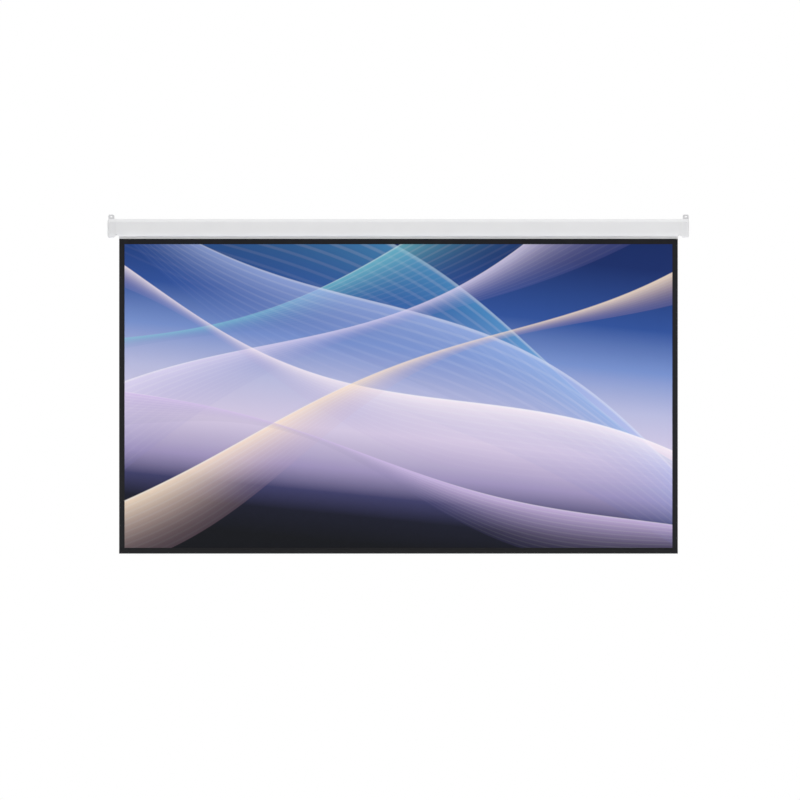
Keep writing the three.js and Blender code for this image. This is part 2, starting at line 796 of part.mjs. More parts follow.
function gripScrew(name, station) {
  const headSeat = hemRadius + seatGap + pullThickness + seatGap;
  const tip = hemTubeRadius - hemTubeWall - pullScrewReach;
  const profile = [
    point(0, tip),
    point(pullScrewRadius, tip),
    point(pullScrewRadius, headSeat),
    point(pullScrewHead, headSeat),
    point(pullScrewHead, headSeat + pullScrewHeadThickness),
    point(0, headSeat + pullScrewHeadThickness),
  ];
  const mesh = piece(name, new THREE.LatheGeometry(profile, smallSteps), zincSteel);
  mesh.rotation.z = -Math.PI * half;
  mesh.position.z = station;
  return mesh;
}

// Assembly

function placed(x, y, meshes) {
  const group = new THREE.Group();
  group.position.set(x, y, 0);
  group.add(...meshes);
  return group;
}

const pawlTurns = Array.from({ length: pawlCount }, (_, i) => pawlStart + (360 / pawlCount) * i);
const caseParts = placed(0, 0, [
  caseShell(),
  endCap("left_end_cap", -1),
  endCap("right_end_cap", 1),
  capScrew("left_cap_screw_upper", -1, 1),
  capScrew("left_cap_screw_lower", -1, -1),
  capScrew("right_cap_screw_upper", 1, 1),
  capScrew("right_cap_screw_lower", 1, -1),
  screenSheet(),
]);
const rollerParts = placed(rollerX, rollerY, [
  bracket("left_bracket", -1, flattedCircle(spindleRadius + seatGap, spindleFlat + seatGap)),
  bracket("right_bracket", 1, circle(bushRadius + seatGap, roundSteps)),
  idleBush(),
  spindle(),
  ratchetWheel(),
  pawl("pawl_a", pawlTurns[0]),
  pawl("pawl_b", pawlTurns[1]),
  pawlPin("pawl_pin_a", pawlTurns[0]),
  pawlPin("pawl_pin_b", pawlTurns[1]),
  endPlug("spring_end_plug", -1, boreRadius, pawlTurns),
  endPlug("idle_end_plug", 1, spindleRadius + seatGap, []),
  sleeve("roller_tube", tubeRadius, tubeBore, -tubeHalf, tubeHalf, zincSteel),
  sleeve("wound_leader", leaderRadius, tubeRadius + seatGap, -clothHalf, clothHalf, whiteCloth),
  sleeve("spring_collar", collarRadius, boreRadius, -collarOuter, -collarInner, zincSteel),
  torsionSpring(),
  sleeve("spring_anchor_plug", plugRadius, boreRadius, -anchorOuter, -anchorInner, blackPlastic),
  idlePin(),
]);
const hemParts = placed(clothX, hemCentre, [
  hemPocket(),
  hemTube(),
  hemPlug("hem_plug_left", -1),
  hemPlug("hem_plug_right", 1),
  pullGrip(),
  gripScrew("grip_screw_left", pullScrewPlaces[0]),
  gripScrew("grip_screw_right", pullScrewPlaces[1]),
]);

const turnsInMetre = (rollerTurns * millimetresInMetre) / dropTravel;
console.log(`hem travel ${dropTravel.toFixed(2)} mm, ${rollerTurns} turns of the roller`);
console.log(`roller turns ${(turnsInMetre * 2 * Math.PI).toFixed(4)} rad a metre of travel`);

// The section frame, depth, height and station, turned into the world frame.
const group = new THREE.Group();
group.name = "pull_down_screen";
group.quaternion.setFromRotationMatrix(new THREE.Matrix4().makeBasis(
  new THREE.Vector3(0, 1, 0),
  new THREE.Vector3(0, 0, 1),
  new THREE.Vector3(1, 0, 0),
));
group.add(caseParts, rollerParts, hemParts);

export default group;
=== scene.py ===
"""A wall-hung pull-down projection screen, dressed for rendering.

A long white case of rolled steel with two moulded end caps holds a spring roller. A coated cloth comes out
of a slot under the case, with a black masking border round its picture, and ends in a weighted hem. World
frame: +X along the case, -Y out of the wall, +Z up, in metres, with the origin on the wall plane midway
between the two hanging slots.
"""
from __future__ import annotations

import json
import logging
import math
from abc import ABC, abstractmethod
from dataclasses import dataclass
from enum import Enum, IntEnum
from functools import partial
from typing import Sequence

import bmesh
import bpy
import numpy as np
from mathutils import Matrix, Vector

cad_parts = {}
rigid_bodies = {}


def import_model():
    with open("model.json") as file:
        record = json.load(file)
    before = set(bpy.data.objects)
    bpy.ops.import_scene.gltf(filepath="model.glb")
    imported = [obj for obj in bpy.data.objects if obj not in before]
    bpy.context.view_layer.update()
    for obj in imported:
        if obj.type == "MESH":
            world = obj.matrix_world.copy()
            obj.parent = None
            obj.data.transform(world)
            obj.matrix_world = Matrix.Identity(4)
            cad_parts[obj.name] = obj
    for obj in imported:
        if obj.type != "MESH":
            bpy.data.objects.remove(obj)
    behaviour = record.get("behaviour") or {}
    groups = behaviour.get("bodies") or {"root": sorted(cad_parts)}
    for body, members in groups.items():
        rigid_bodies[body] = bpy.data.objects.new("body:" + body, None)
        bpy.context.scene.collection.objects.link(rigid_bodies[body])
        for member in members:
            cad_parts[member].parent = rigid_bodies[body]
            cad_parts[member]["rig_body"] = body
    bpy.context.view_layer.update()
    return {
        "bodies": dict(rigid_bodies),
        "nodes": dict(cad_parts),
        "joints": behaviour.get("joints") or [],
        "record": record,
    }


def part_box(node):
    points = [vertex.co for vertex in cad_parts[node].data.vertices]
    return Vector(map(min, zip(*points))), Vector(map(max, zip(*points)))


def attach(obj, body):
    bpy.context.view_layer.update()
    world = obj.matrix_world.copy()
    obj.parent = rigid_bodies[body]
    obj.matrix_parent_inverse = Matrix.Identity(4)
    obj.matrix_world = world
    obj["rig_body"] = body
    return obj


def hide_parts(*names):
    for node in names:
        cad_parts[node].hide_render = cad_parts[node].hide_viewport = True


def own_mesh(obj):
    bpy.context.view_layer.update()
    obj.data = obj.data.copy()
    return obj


log = logging.getLogger("pull_down_screen")

MM = 0.001
TAU = 2 * math.pi
Array = np.ndarray
Tree = bpy.types.NodeTree
Socket = bpy.types.NodeSocket

# Angle in degrees past which an edge of a hard piece is a crease
CREASE = 32.0
# Points this close together are one point, and an edge this short is none
WELD = 1e-7
SLIVER = 1e-8
# A corner opened this wide counts as straight, and an arc takes a little under half of each run beside it
STRAIGHT = 0.985 * math.pi
LARGEST_REACH = 1 / 2.02
# Numbers of a Mix node's two colour inputs and its colour output, which share their names with its other ones
MIX_A, MIX_B, MIX_COLOUR = 6, 7, 2


# Colour and nodes


def linear(hex_colour: str) -> tuple[float, float, float, float]:
    """Turns a colour as a designer writes it into the renderer's linear light.

    Args:
        hex_colour: Six hex digits of an sRGB colour.

    Returns:
        Red, green, blue and a full alpha. Each channel is divided by 12.92 near black, and elsewhere
        shifted by 0.055, divided by 1.055 and raised to the power 2.4.
    """
    channels = [int(hex_colour[i:i + 2], 16) / 255 for i in (0, 2, 4)]
    red, green, blue = (c / 12.92 if c <= 0.04045 else ((c + 0.055) / 1.055) ** 2.4 for c in channels)
    return red, green, blue, 1.0


def per_metre(size_mm: float) -> float:
    """The scale at which a texture's features come out at a real size in millimetres."""
    return 1 / (size_mm * MM)


def add_node(tree: Tree, kind: str, inputs: Sequence | dict = (), output: int | str = 0,
             **settings: object) -> Socket | None:
    """Adds one node with its settings, values and links.

    Args:
        tree: The node tree that gets the node.
        kind: Blender's name of the node type, without its first part ShaderNode.
        inputs: Values, or outputs that feed the inputs, in the inputs' order or by their name or number.
        output: Name or number of the output to hand back.
        **settings: Properties of the node itself, such as an operation.

    Returns:
        That output of the new node, from which its node and other outputs can be had.
    """
    node = tree.nodes.new(f"ShaderNode{kind}")
    for name, value in settings.items():
        setattr(node, name, value)
    for key, value in inputs.items() if isinstance(inputs, dict) else enumerate(inputs):
        if isinstance(value, Socket):
            tree.links.new(value, node.inputs[key])
        else:
            node.inputs[key].default_value = value
    return node.outputs[output] if node.outputs else None


# Finishes


@dataclass(frozen=True)
class Look:
    """What a surface's making left on it, as node outputs from 0 to 1.

    The height is how far the surface stands out, and the drifts are where its colour and its gloss wander.
    A finish that paints its own colour gives that in place of the colour's drift.
    """

    height: Socket
    drift: Socket | None = None
    gloss: Socket | None = None
    colour: Socket | None = None


@dataclass(frozen=True)
class Finish(ABC):
    """A material and how its surface was made, with its colours, gloss and depth of relief."""

    name: str
    colour: str
    roughness: float
    metallic: float = 0.0
    drift: str = "FFFFFF"
    gloss_drift: float = 0.0
    relief_mm: float = 0.01
    constants: tuple[tuple[str, float], ...] = ()

    def material(self) -> bpy.types.Material:
        """Makes the material from what the surface's making left, unless it was made before.

        Returns:
            The material.
        """
        found = bpy.data.materials.get(self.name)
        if found:
            return found
        made = bpy.data.materials.new(self.name)
        made.use_nodes = True
        made.diffuse_color = linear(self.colour)
        tree = made.node_tree
        shader = tree.nodes["Principled BSDF"]
        values = {"Base Color": linear(self.colour), "Roughness": self.roughness, "Metallic": self.metallic}
        for socket, value in {**values, **dict(self.constants)}.items():
            shader.inputs[socket].default_value = value
        look = self.draw(tree, add_node(tree, "TexCoord", output="Object"))
        bump = {"Height": look.height, "Distance": self.relief_mm * MM, "Strength": 1.0}
        links = {"Normal": add_node(tree, "Bump", bump)}
        if look.colour:
            links["Base Color"] = look.colour
        if look.drift:
            both = {"Factor": look.drift, MIX_A: linear(self.colour), MIX_B: linear(self.drift)}
            links["Base Color"] = add_node(tree, "Mix", both, MIX_COLOUR, data_type="RGBA")
        if look.gloss:
            span = {"To Min": self.roughness - self.gloss_drift, "To Max": self.roughness + self.gloss_drift}
            links["Roughness"] = add_node(tree, "MapRange", {"Value": look.gloss, **span})
        for socket, output in links.items():
            tree.links.new(output, shader.inputs[socket])
        return made

    @abstractmethod
    def draw(self, tree: Tree, place: Socket) -> Look:
        """Draws what the surface's making left on it.

        Args:
            tree: The material's node tree.
            place: The place on the object, in metres.

        Returns:
            The look.
        """


@dataclass(frozen=True)
class Layer:
    """One layer of what the making left: its features' size, their detail, and how each axis is scaled."""

    size_mm: float
    detail: float
    scale: tuple[float, float, float] = (1.0, 1.0, 1.0)


@dataclass(frozen=True)
class Grained(Finish):
    """A finish with a fine relief, and a slow drift of its colour. Its gloss follows one of the two."""

    fine: Layer = Layer(1.0, 2.0)
    slow: Layer = Layer(10.0, 2.0)
    fine_gloss: bool = False

    def draw(self, tree: Tree, place: Socket) -> Look:
        """Draws the two layers as noise at their real sizes.

        Args:
            tree: The material's node tree.
            place: The place on the object, in metres.

        Returns:
            The fine layer for the height, the slow one for the colour, and either for the gloss.
        """
        fine, slow = (
            add_node(tree, "TexNoise", {
                "Vector": add_node(tree, "Mapping", {"Vector": place, "Scale": layer.scale}),
                "Scale": per_metre(layer.size_mm),
                "Detail": layer.detail,
            }) for layer in (self.fine, self.slow))
        return Look(fine, slow, fine if self.fine_gloss else slow)


@dataclass(frozen=True)
class PowderCoat(Grained):
    """Polyester powder coat, sprayed and baked on rolled steel.

    It flows into a faint orange peel that softens every reflection, with a slow drift in film thickness.
    """

    fine: Layer = Layer(2.4, 1.0)
    slow: Layer = Layer(90.0, 1.0)


@dataclass(frozen=True)
class MouldedPlastic(Grained):
    """A thermoplastic shot into a spark-eroded steel mould.

    The mould leaves a fine even grain, which reads as satin from a step away and as grit close to. It is
    drawn as coarse as it needs to show, over faint flow marks.
    """

    fine: Layer = Layer(0.9, 3.0)
    slow: Layer = Layer(35.0, 2.0)
    fine_gloss: bool = True


@dataclass(frozen=True)
class LinedMetal(Grained):
    """Metal that was rolled or drawn, and then plated or left as the mill made it.

    The rolls or the die leave faint lines along it, and the passivation of the zinc, or the mill's oxide,
    makes its gloss a little cloudy.
    """

    metallic: float = 1.0
    fine: Layer = Layer(0.8, 2.0, (1.0, 0.05, 1.0))
    slow: Layer = Layer(9.0, 2.0)


@dataclass(frozen=True)
class DrawnWire(Grained):
    """Spring steel drawn through a die and oil tempered.

    It is nearly black in its hollows, where the oil has bloomed, and shines along the wire, where the die has
    polished and scratched it.
    """

    metallic: float = 1.0
    fine: Layer = Layer(0.5, 3.0)
    slow: Layer = Layer(5.0, 3.0)


@dataclass(frozen=True)
class Galvanised(Finish):
    """Hot-dip zinc on a rolled and seamed steel tube.

    The zinc freezes in flat crystals, so the grey breaks up into spangles with edges of their own.
    """

    metallic: float = 1.0
    spangle_mm: float = 7.0

    def draw(self, tree: Tree, place: Socket) -> Look:
        """Draws the spangles.

        Args:
            tree: The material's node tree.
            place: The place on the object, in metres.

        Returns:
            The distance from a spangle's middle for the height, and its own shade for the colour and gloss.
        """
        cells = {"Vector": place, "Scale": per_metre(self.spangle_mm)}
        spangle = add_node(tree, "TexVoronoi", cells).node.outputs
        shade = add_node(tree, "SeparateColor", [spangle["Color"]])
        return Look(spangle["Distance"], shade, shade)


@dataclass(frozen=True)
class CoatedCloth(Finish):
    """Vinyl cast on woven glass cloth and embossed matt.

    The weave shows through the coat as a fine square grid. Its threads lie 0.4 mm apart, and it is drawn at
    three times that so that it shows.
    """

    relief_mm: float = 0.05
    constants: tuple[tuple[str, float], ...] = (("Sheen Weight", 0.04), ("Specular IOR Level", 0.18))
    thread_mm: float = 1.2
    fade_mm: float = 120.0

    def draw(self, tree: Tree, place: Socket) -> Look:
        """Draws the weave on the cloth's own UV map, which is in metres.

        Args:
            tree: The material's node tree.
            place: The place on the object, which the cloth has no use for.

        Returns:
            Weave for the height, and a slow fade for the colour.
        """
        cloth = add_node(tree, "UVMap", uv_map="cloth")
        fade = add_node(tree, "TexNoise", {"Vector": cloth, "Scale": per_metre(self.fade_mm)})
        return Look(self.weave(tree, cloth), fade)

    def weave(self, tree: Tree, cloth: Socket) -> Socket:
        """Two sets of threads: the height is the mean of a sine along each way of the cloth.

        The sines add up to a value from -2 to 2, which is scaled by a quarter and raised by a half.

        Args:
            tree: The material's node tree.
            cloth: The place on the cloth, in metres.

        Returns:
            The height, from 0 to 1.
        """
        add = partial(add_node, tree)
        pace = TAU / (self.thread_mm * MM)
        ways = add("SeparateXYZ", [cloth]).node.outputs
        phases = [add("Math", [way, pace], operation="MULTIPLY") for way in ways[:2]]
        waves = [add("Math", [phase], operation="SINE") for phase in phases]
        return add("Math", [add("Math", waves, operation="ADD"), 0.25, 0.5], operation="MULTIPLY_ADD")


@dataclass(frozen=True)
class Ribbon:
    """One ribbon of light in the picture, which swings and twists as it crosses.

    Its dark colour lies along its lower edge and its light one along the upper. Lengths are shares of the
    picture's height, the tilt is in degrees, and waves and twists are turns in one such height.
    """

    dark: str
    light: str
    level: float
    tilt: float
    swing: float
    waves: float
    start: float
    width: float
    twists: float
    turn: float
    strength: float


@dataclass(frozen=True)
class ProjectedPicture(CoatedCloth):
    """A projector's picture, painted into the cloth's colour: abstract ribbons of light that cross on a
    dusk-coloured ground.

    The ground runs from near black through lavender to royal blue. Fine strands follow each ribbon and draw
    together where it twists.
    """

    constants: tuple[tuple[str, float], ...] = (("Specular IOR Level", 0.18),)
    width: float = 2.212
    height: float = 1.225
    slant: float = 0.10
    strands: int = 11
    closing: float = 0.44
    fade_power: float = 1.8
    faintest: float = 0.12
    soft_edge: float = 0.004
    strand_start: float = 0.3
    strand_light: float = 0.16
    rim_start: float = 0.9
    rim_light: float = 0.4
    ground: tuple[tuple[float, str], ...] = (
        (0.00, "0E1016"), (0.09, "181A2A"), (0.16, "3E3E66"), (0.24, "9E93BC"), (0.37, "D6CBE4"),
        (0.52, "BABDE0"), (0.66, "7892CE"), (0.80, "30529B"), (1.00, "172E69"),
    )
    ribbons: tuple[Ribbon, ...] = (
        Ribbon("1D4C9E", "5AA8DC", 1.02, -24.0, 0.060, 0.42, 0.10, 0.200, 0.33, 0.15, 0.60),
        Ribbon("2C5FB0", "7FD0DC", 0.62, 19.0, 0.080, 0.38, 0.38, 0.130, 0.41, 0.60, 0.70),
        Ribbon("4A6CC0", "A9BCF0", 0.98, -29.0, 0.070, 0.45, 0.80, 0.170, 0.29, 0.05, 0.70),
        Ribbon("8D86CC", "E6DDF8", 0.30, 27.0, 0.075, 0.40, 0.12, 0.165, 0.37, 0.35, 0.80),
        Ribbon("B49AD0", "FFF4FA", 0.78, -20.0, 0.080, 0.43, 0.50, 0.120, 0.47, 0.75, 0.85),
        Ribbon("C9A4B8", "FFE9CF", 0.10, 24.0, 0.060, 0.50, 0.70, 0.105, 0.39, 0.20, 0.85),
        Ribbon("5C5590", "DCC6F0", 0.45, -14.0, 0.060, 0.55, 0.05, 0.080, 0.53, 0.50, 0.75),
    )

    def draw(self, tree: Tree, place: Socket) -> Look:
        """Draws the picture on the cloth's UV map and the weave over it.

        Args:
            tree: The material's node tree.
            place: The place on the object, which the cloth has no use for.

        Returns:
            Weave for the height, and the picture for the colour.
        """
        cloth = add_node(tree, "UVMap", uv_map="cloth")
        scale = (1 / self.height, 1 / self.height, 0.0)
        flat = add_node(tree, "VectorMath", [cloth, scale], operation="MULTIPLY")
        colour = self.shaded_ground(tree, flat)
        for ribbon in self.ribbons:
            colour = self.crossed(tree, colour, flat, ribbon)
        return Look(self.weave(tree, cloth), colour=colour)

    def shaded_ground(self, tree: Tree, flat: Socket) -> Socket:
        """A ramp of colours up the picture, a little further on towards the right.

        Args:
            tree: The material's node tree.
            flat: The place on the picture, in shares of its height.

        Returns:
            The ground's colour.
        """
        add = partial(add_node, tree)
        across, up, _ = add("SeparateXYZ", [flat]).node.outputs
        slanted = add("Math", [across, self.slant, up], operation="MULTIPLY_ADD")
        middle = self.slant * self.width / self.height / 2
        ramp = add("ValToRGB", [add("Math", [slanted, middle], operation="SUBTRACT")])
        stops = ramp.node.color_ramp.elements
        stops.remove(stops[1])
        for number, (share, colour) in enumerate(self.ground):
            stop = stops.new(share) if number else stops[0]
            stop.color = linear(colour)
        return ramp

    def crossed(self, tree: Tree, under: Socket, flat: Socket, ribbon: Ribbon) -> Socket:
        """One ribbon over what lies under it.

        The picture is turned by the ribbon's tilt. The ribbon's middle is its level plus a sine along it,
        and its half width is a share of its width that swings by another sine, so that it all but closes
        where it twists. A place in it runs from -1 at its lower edge to 1 at its upper one. It is clearest
        and lightest along the upper edge, and the strands are crests of a sine of the place.

        Args:
            tree: The material's node tree.
            under: The colour under the ribbon.
            flat: The place on the picture, in shares of its height.
            ribbon: The ribbon.

        Returns:
            The colour with the ribbon over it.
        """
        add = partial(add_node, tree)
        tilt = {"Vector": flat, "Angle": -math.radians(ribbon.tilt)}
        tilted = add("VectorRotate", tilt, rotation_type="Z_AXIS")
        along, square, _ = add("SeparateXYZ", [tilted]).node.outputs
        phases = [add("Math", [along, TAU * pace, TAU * start], operation="MULTIPLY_ADD")
                  for pace, start in ((ribbon.waves, ribbon.start), (ribbon.twists, ribbon.turn))]
        swing, twist = (add("Math", [phase], operation="SINE") for phase in phases)
        middle = add("Math", [swing, ribbon.swing, ribbon.level], operation="MULTIPLY_ADD")
        spread = [twist, ribbon.width * self.closing, ribbon.width * (1 - self.closing)]
        half = add("Math", spread, operation="MULTIPLY_ADD")
        off = add("Math", [square, middle], operation="SUBTRACT")
        place = add("Math", [off, half], operation="DIVIDE")
        room = add("Math", [half, add("Math", [off], operation="ABSOLUTE")], operation="SUBTRACT")
        tone = add("MapRange", {"Value": place, "From Min": -1.0})
        clear = add("MapRange", {"Value": add("Math", [tone, self.fade_power], operation="POWER"),
                                 "To Min": ribbon.strength * self.faintest, "To Max": ribbon.strength})
        inside = add("MapRange", {"Value": room, "From Max": self.soft_edge}, interpolation_type="SMOOTHSTEP")
        share = add("Math", [inside, clear], operation="MULTIPLY")
        across = add("Math", [place, math.pi * self.strands], operation="MULTIPLY")
        strand = add("Math", [across], operation="SINE")
        crest, rim = (
            add("MapRange", {"Value": value, "From Min": start, "To Max": most},
                interpolation_type="SMOOTHSTEP")
            for value, start, most in ((strand, self.strand_start, self.strand_light),
                                       (place, self.rim_start, self.rim_light)))
        light = add("Math", [crest, rim], operation="ADD")
        colour = add("Mix", {"Factor": tone, MIX_A: linear(ribbon.dark), MIX_B: linear(ribbon.light)},
                     MIX_COLOUR, data_type="RGBA")
        lit = add("Mix", {"Factor": light, MIX_A: colour, MIX_B: linear("FFFFFF")},
                  MIX_COLOUR, data_type="RGBA")
        return add("Mix", {"Factor": share, MIX_A: under, MIX_B: lit}, MIX_COLOUR, data_type="RGBA")


# White powder on rolled steel is an even satin, a touch cool, and softens the edges of what it reflects
CASE_PAINT = PowderCoat("polyester_powder_coat_on_rolled_steel", "E6E6E7", roughness=0.46, drift="E2E2E4",
                        gloss_drift=0.04, relief_mm=0.02, constants=(("IOR", 1.5),))
# Moulded ABS is the same white, but its grain makes it a little duller than the painted steel
CAP_PLASTIC = MouldedPlastic("spark_textured_abs_white", "E4E4E5", roughness=0.5, drift="DEDEE0",
                             gloss_drift=0.05, relief_mm=0.015, constants=(("IOR", 1.54),))
# Black ABS turns dark grey wherever light falls flat on its grain
BLACK_PLASTIC = MouldedPlastic("spark_textured_abs_black", "1F2022", roughness=0.5, drift="26272A",
                               gloss_drift=0.05, relief_mm=0.015, constants=(("IOR", 1.54),))
# Nylon turned from a rod is a warm off-white, and its tool marks are as fine as a grain
NYLON = MouldedPlastic("turned_nylon_natural", "DAD6C8", roughness=0.42, drift="E6E2D6",
                       gloss_drift=0.05, relief_mm=0.01, constants=(("IOR", 1.53),))
# Zinc over pressed or turned steel is cool, bright and cloudy
ZINC = LinedMetal("bright_zinc_on_pressed_steel", "C9CDD2", roughness=0.34, drift="A9AEB6",
                  gloss_drift=0.08)
# Stamping leaves the steel rougher, so the zinc on the ratchet and its pawls is a shade duller
DARK_ZINC = LinedMetal("bright_zinc_on_stamped_steel", "B4B8BE", roughness=0.42, drift="8D9299",
                       gloss_drift=0.08)
# A dipped tube is covered in faint spangles, each a slightly different grey
GALVANISED = Galvanised("hot_dip_zinc_on_rolled_tube", "B6BBC1", roughness=0.42, drift="A3A8AF",
                        gloss_drift=0.06, relief_mm=0.002)
# Oil-tempered wire is dark, with a sheen along it
WIRE = DrawnWire("oil_tempered_drawn_wire", "6B6E73", roughness=0.36, drift="3A3D42",
                 gloss_drift=0.1, relief_mm=0.008)
# Aluminium left as the die drew it is pale, with fine lines along the tube
ALUMINIUM = LinedMetal("mill_finish_drawn_aluminium", "C4C7CA", roughness=0.38, drift="B2B6BA",
                       gloss_drift=0.08, fine=Layer(0.5, 2.0, (0.05, 1.0, 1.0)))
# The screen's face is a dead matt white, so that a picture has no hot spot
WHITE_CLOTH = CoatedCloth("matt_white_vinyl_on_glass_cloth", "DCDCDB", roughness=0.85, drift="D8D8D8")
# The masking coat is a flat black that swallows the picture's edge
MASK_CLOTH = CoatedCloth("black_masking_coat_on_glass_cloth", "1C1C1F", roughness=0.8, drift="19191C")
# The back coat keeps light from passing through, and shows more of the weave
BACK_CLOTH = CoatedCloth("black_back_coat_on_glass_cloth", "1B1B1D", roughness=0.82, drift="222225")
# The picture has the face's matt surface, and its colour is the light of a projector, painted on as the
# cloth's base colour
PICTURE = ProjectedPicture("picture_on_matt_white_vinyl", "8FA6DE", roughness=0.85)


# Surfaces


@dataclass
class Skin:
    """A stretch of surface: points, faces by point number, one finish number and flat cloth places."""

    points: Array
    faces: list[Sequence[int]]
    finish: int = 0
    cloth: Array | None = None


def grid_faces(rows: int, columns: int, close_rows: bool = False,
               close_columns: bool = False) -> list[list[int]]:
    """Four-sided faces between neighbours of a grid of points numbered row by row.

    Args:
        rows: How many rows of points there are.
        columns: How many points a row has.
        close_rows: Whether the last row meets the first.
        close_columns: Whether the last point of a row meets its first.

    Returns:
        One list of four point numbers for each face.
    """
    r = np.arange(rows if close_rows else rows - 1)[:, None]
    c = np.arange(columns if close_columns else columns - 1)[None, :]
    r2, c2 = (r + 1) % rows, (c + 1) % columns
    corners = [r * columns + c, r * columns + c2, r2 * columns + c2, r2 * columns + c]
    return np.stack(np.broadcast_arrays(*corners), axis=-1).reshape(-1, 4).tolist()


def capped(points: Array) -> Skin:
    """Closes rings of points, with a flat face over the first ring and one over the last.

    Args:
        points: The points, one ring to a row.

    Returns:
        The closed surface.
    """
    rows, columns = points.shape[:2]
    ends = [list(range(columns))[::-1], list(range((rows - 1) * columns, rows * columns))]
    return Skin(points.reshape(-1, 3), grid_faces(rows, columns, close_columns=True) + ends)


def strip_faces(rows: int, deep: int) -> list[list[int]]:
    """The faces of a thin wall, whose every ring is an outer line followed by an inner line on its way back.

    Each end is closed by four-sided faces between the two lines, which follow the wall round its bends.

    Args:
        rows: How many rings there are.
        deep: How many points each of the two lines has.

    Returns:
        One list of four point numbers for each face.
    """
    count = 2 * deep
    faces = grid_faces(rows, count, close_columns=True)
    across = np.arange(deep - 1)
    for start in (0, (rows - 1) * count):
        wall = [start + across, start + across + 1, start + count - 2 - across, start + count - 1 - across]
        faces += np.stack(wall, axis=1).tolist()
    return faces


def carried(outline: Array, stations: Sequence[float]) -> Array:
    """The points of a (depth, height) outline repeated at stations along X, one row for each station."""
    along = np.repeat(np.asarray(stations, float), len(outline))
    return np.column_stack([along, np.tile(outline, (len(stations), 1))])


def prism(outline: Array, stations: Sequence[float]) -> Skin:
    """The closed surface of a (depth, height) outline carried along X, with flat ends."""
    return capped(carried(outline, stations).reshape(len(stations), -1, 3))


def gridded(x: Array, y: Array, z: Array) -> Array:
    """Points on a grid, from coordinates that spread out to its rows and columns."""
    return np.stack(np.broadcast_arrays(x, y, z), axis=-1)


def wound(centre: tuple[float, float], turn: Array, radius: Array, thickness: float,
          stations: Array) -> Skin:
    """A cloth wound about an axis along X: a thin wall between two spirals, its own thickness apart.

    Each point is (station, centre depth + radius times the cosine, centre height + radius times the sine).

    Args:
        centre: Depth and height of the axis.
        turn: The angles along the spiral.
        radius: Its inner face's radius at each angle.
        thickness: The cloth's thickness.
        stations: Where its rings lie along X.

    Returns:
        The closed surface, with its flat cloth places.
    """
    inner, outer = (np.stack([centre[0] + r * np.cos(turn), centre[1] + r * np.sin(turn)], axis=1)
                    for r in (radius, radius + thickness))
    points = carried(np.vstack([inner, outer[::-1]]), stations)
    return Skin(points, strip_faces(len(stations), len(turn)), cloth=points[:, [0, 2]])


def turned(profile: Array, centre: tuple[float, float], steps: int = 64) -> Skin:
    """A profile of (station, radius) turned about an axis along X.

    Each point is (station, centre depth + radius times the cosine, centre height + radius times the sine).
    A profile that starts and ends at radius 0 closes on the axis, and any other closes on itself.

    Args:
        profile: The profile's corners.
        centre: Depth and height of the axis.
        steps: How many stretches a whole turn has.

    Returns:
        The closed surface.
    """
    turn = np.arange(steps) * TAU / steps
    station, radius = profile[:, :1], profile[:, 1:]
    points = gridded(station, centre[0] + radius * np.cos(turn), centre[1] + radius * np.sin(turn))
    on_axis = radius[0] == 0 and radius[-1] == 0
    return Skin(points.reshape(-1, 3), grid_faces(len(profile), steps, not on_axis, True))


def tube_profile(low: float, high: float, outer: float, inner: float) -> Array:
    """The profile of a tube between two stations, for turning."""
    return np.array([(low, inner), (low, outer), (high, outer), (high, inner)])


def tube(path: Array, radius: float, sides: int) -> Skin:
    """A round wire along a coiled path, closed at both ends.

    Each ring lies square to the path: its points are the path's place plus the radius times the cosine
    along one normal and the sine along the other. The first normal points away from the coil's axis.

    Args:
        path: Points on the wire's middle line, coiled about X.
        radius: The wire's radius.
        sides: How many sides the wire has.

    Returns:
        The closed surface.
    """
    heading = np.gradient(path, axis=0)
    heading /= np.linalg.norm(heading, axis=1)[:, None]
    out = path - path.mean(axis=0)
    out[:, 0] = 0
    out -= heading * (out * heading).sum(1)[:, None]
    out /= np.linalg.norm(out, axis=1)[:, None]
    across = np.cross(heading, out)
    turn = (np.arange(sides) * TAU / sides)[None, :, None]
    return capped(path[:, None] + radius * (np.cos(turn) * out[:, None] + np.sin(turn) * across[:, None]))


def rounded(corners: Array, radii: Sequence[float] | Array, steps: int = 6, closed: bool = True) -> Array:
    """A path of straight runs whose corners are true arcs.

    At each corner the arc touches both runs. Its points turn evenly about the arc's centre, which lies on
    the line that halves the corner.

    Args:
        corners: The sharp corners in order.
        radii: One radius for each corner. One of radius 0 stays sharp, and so does an all but straight one.
        steps: How many stretches an arc has.
        closed: Whether the path closes on itself, so that its ends are corners as well.

    Returns:
        The points of the path.
    """
    out: list[Array] = []
    for i, (corner, radius) in enumerate(zip(corners, radii)):
        before, after = corners[i - 1] - corner, corners[(i + 1) % len(corners)] - corner
        runs = np.linalg.norm(before), np.linalg.norm(after)
        one, two = before / runs[0], after / runs[1]
        opening = math.acos(np.clip(one @ two, -1.0, 1.0))
        if radius == 0 or opening > STRAIGHT or (not closed and i in (0, len(corners) - 1)):
            out.append(corner[None])
            continue
        reach = min(radius / math.tan(opening / 2), min(runs) * LARGEST_REACH)
        radius = reach * math.tan(opening / 2)
        centre = corner + (one + two) / np.linalg.norm(one + two) * radius / math.sin(opening / 2)
        start, end, swing = corner + one * reach - centre, corner + two * reach - centre, math.pi - opening
        share = np.linspace(0, 1, steps + 1)[:, None]
        between = np.sin((1 - share) * swing) * start + np.sin(share * swing) * end
        out.append(centre + between / math.sin(swing))
    return np.concatenate(out)


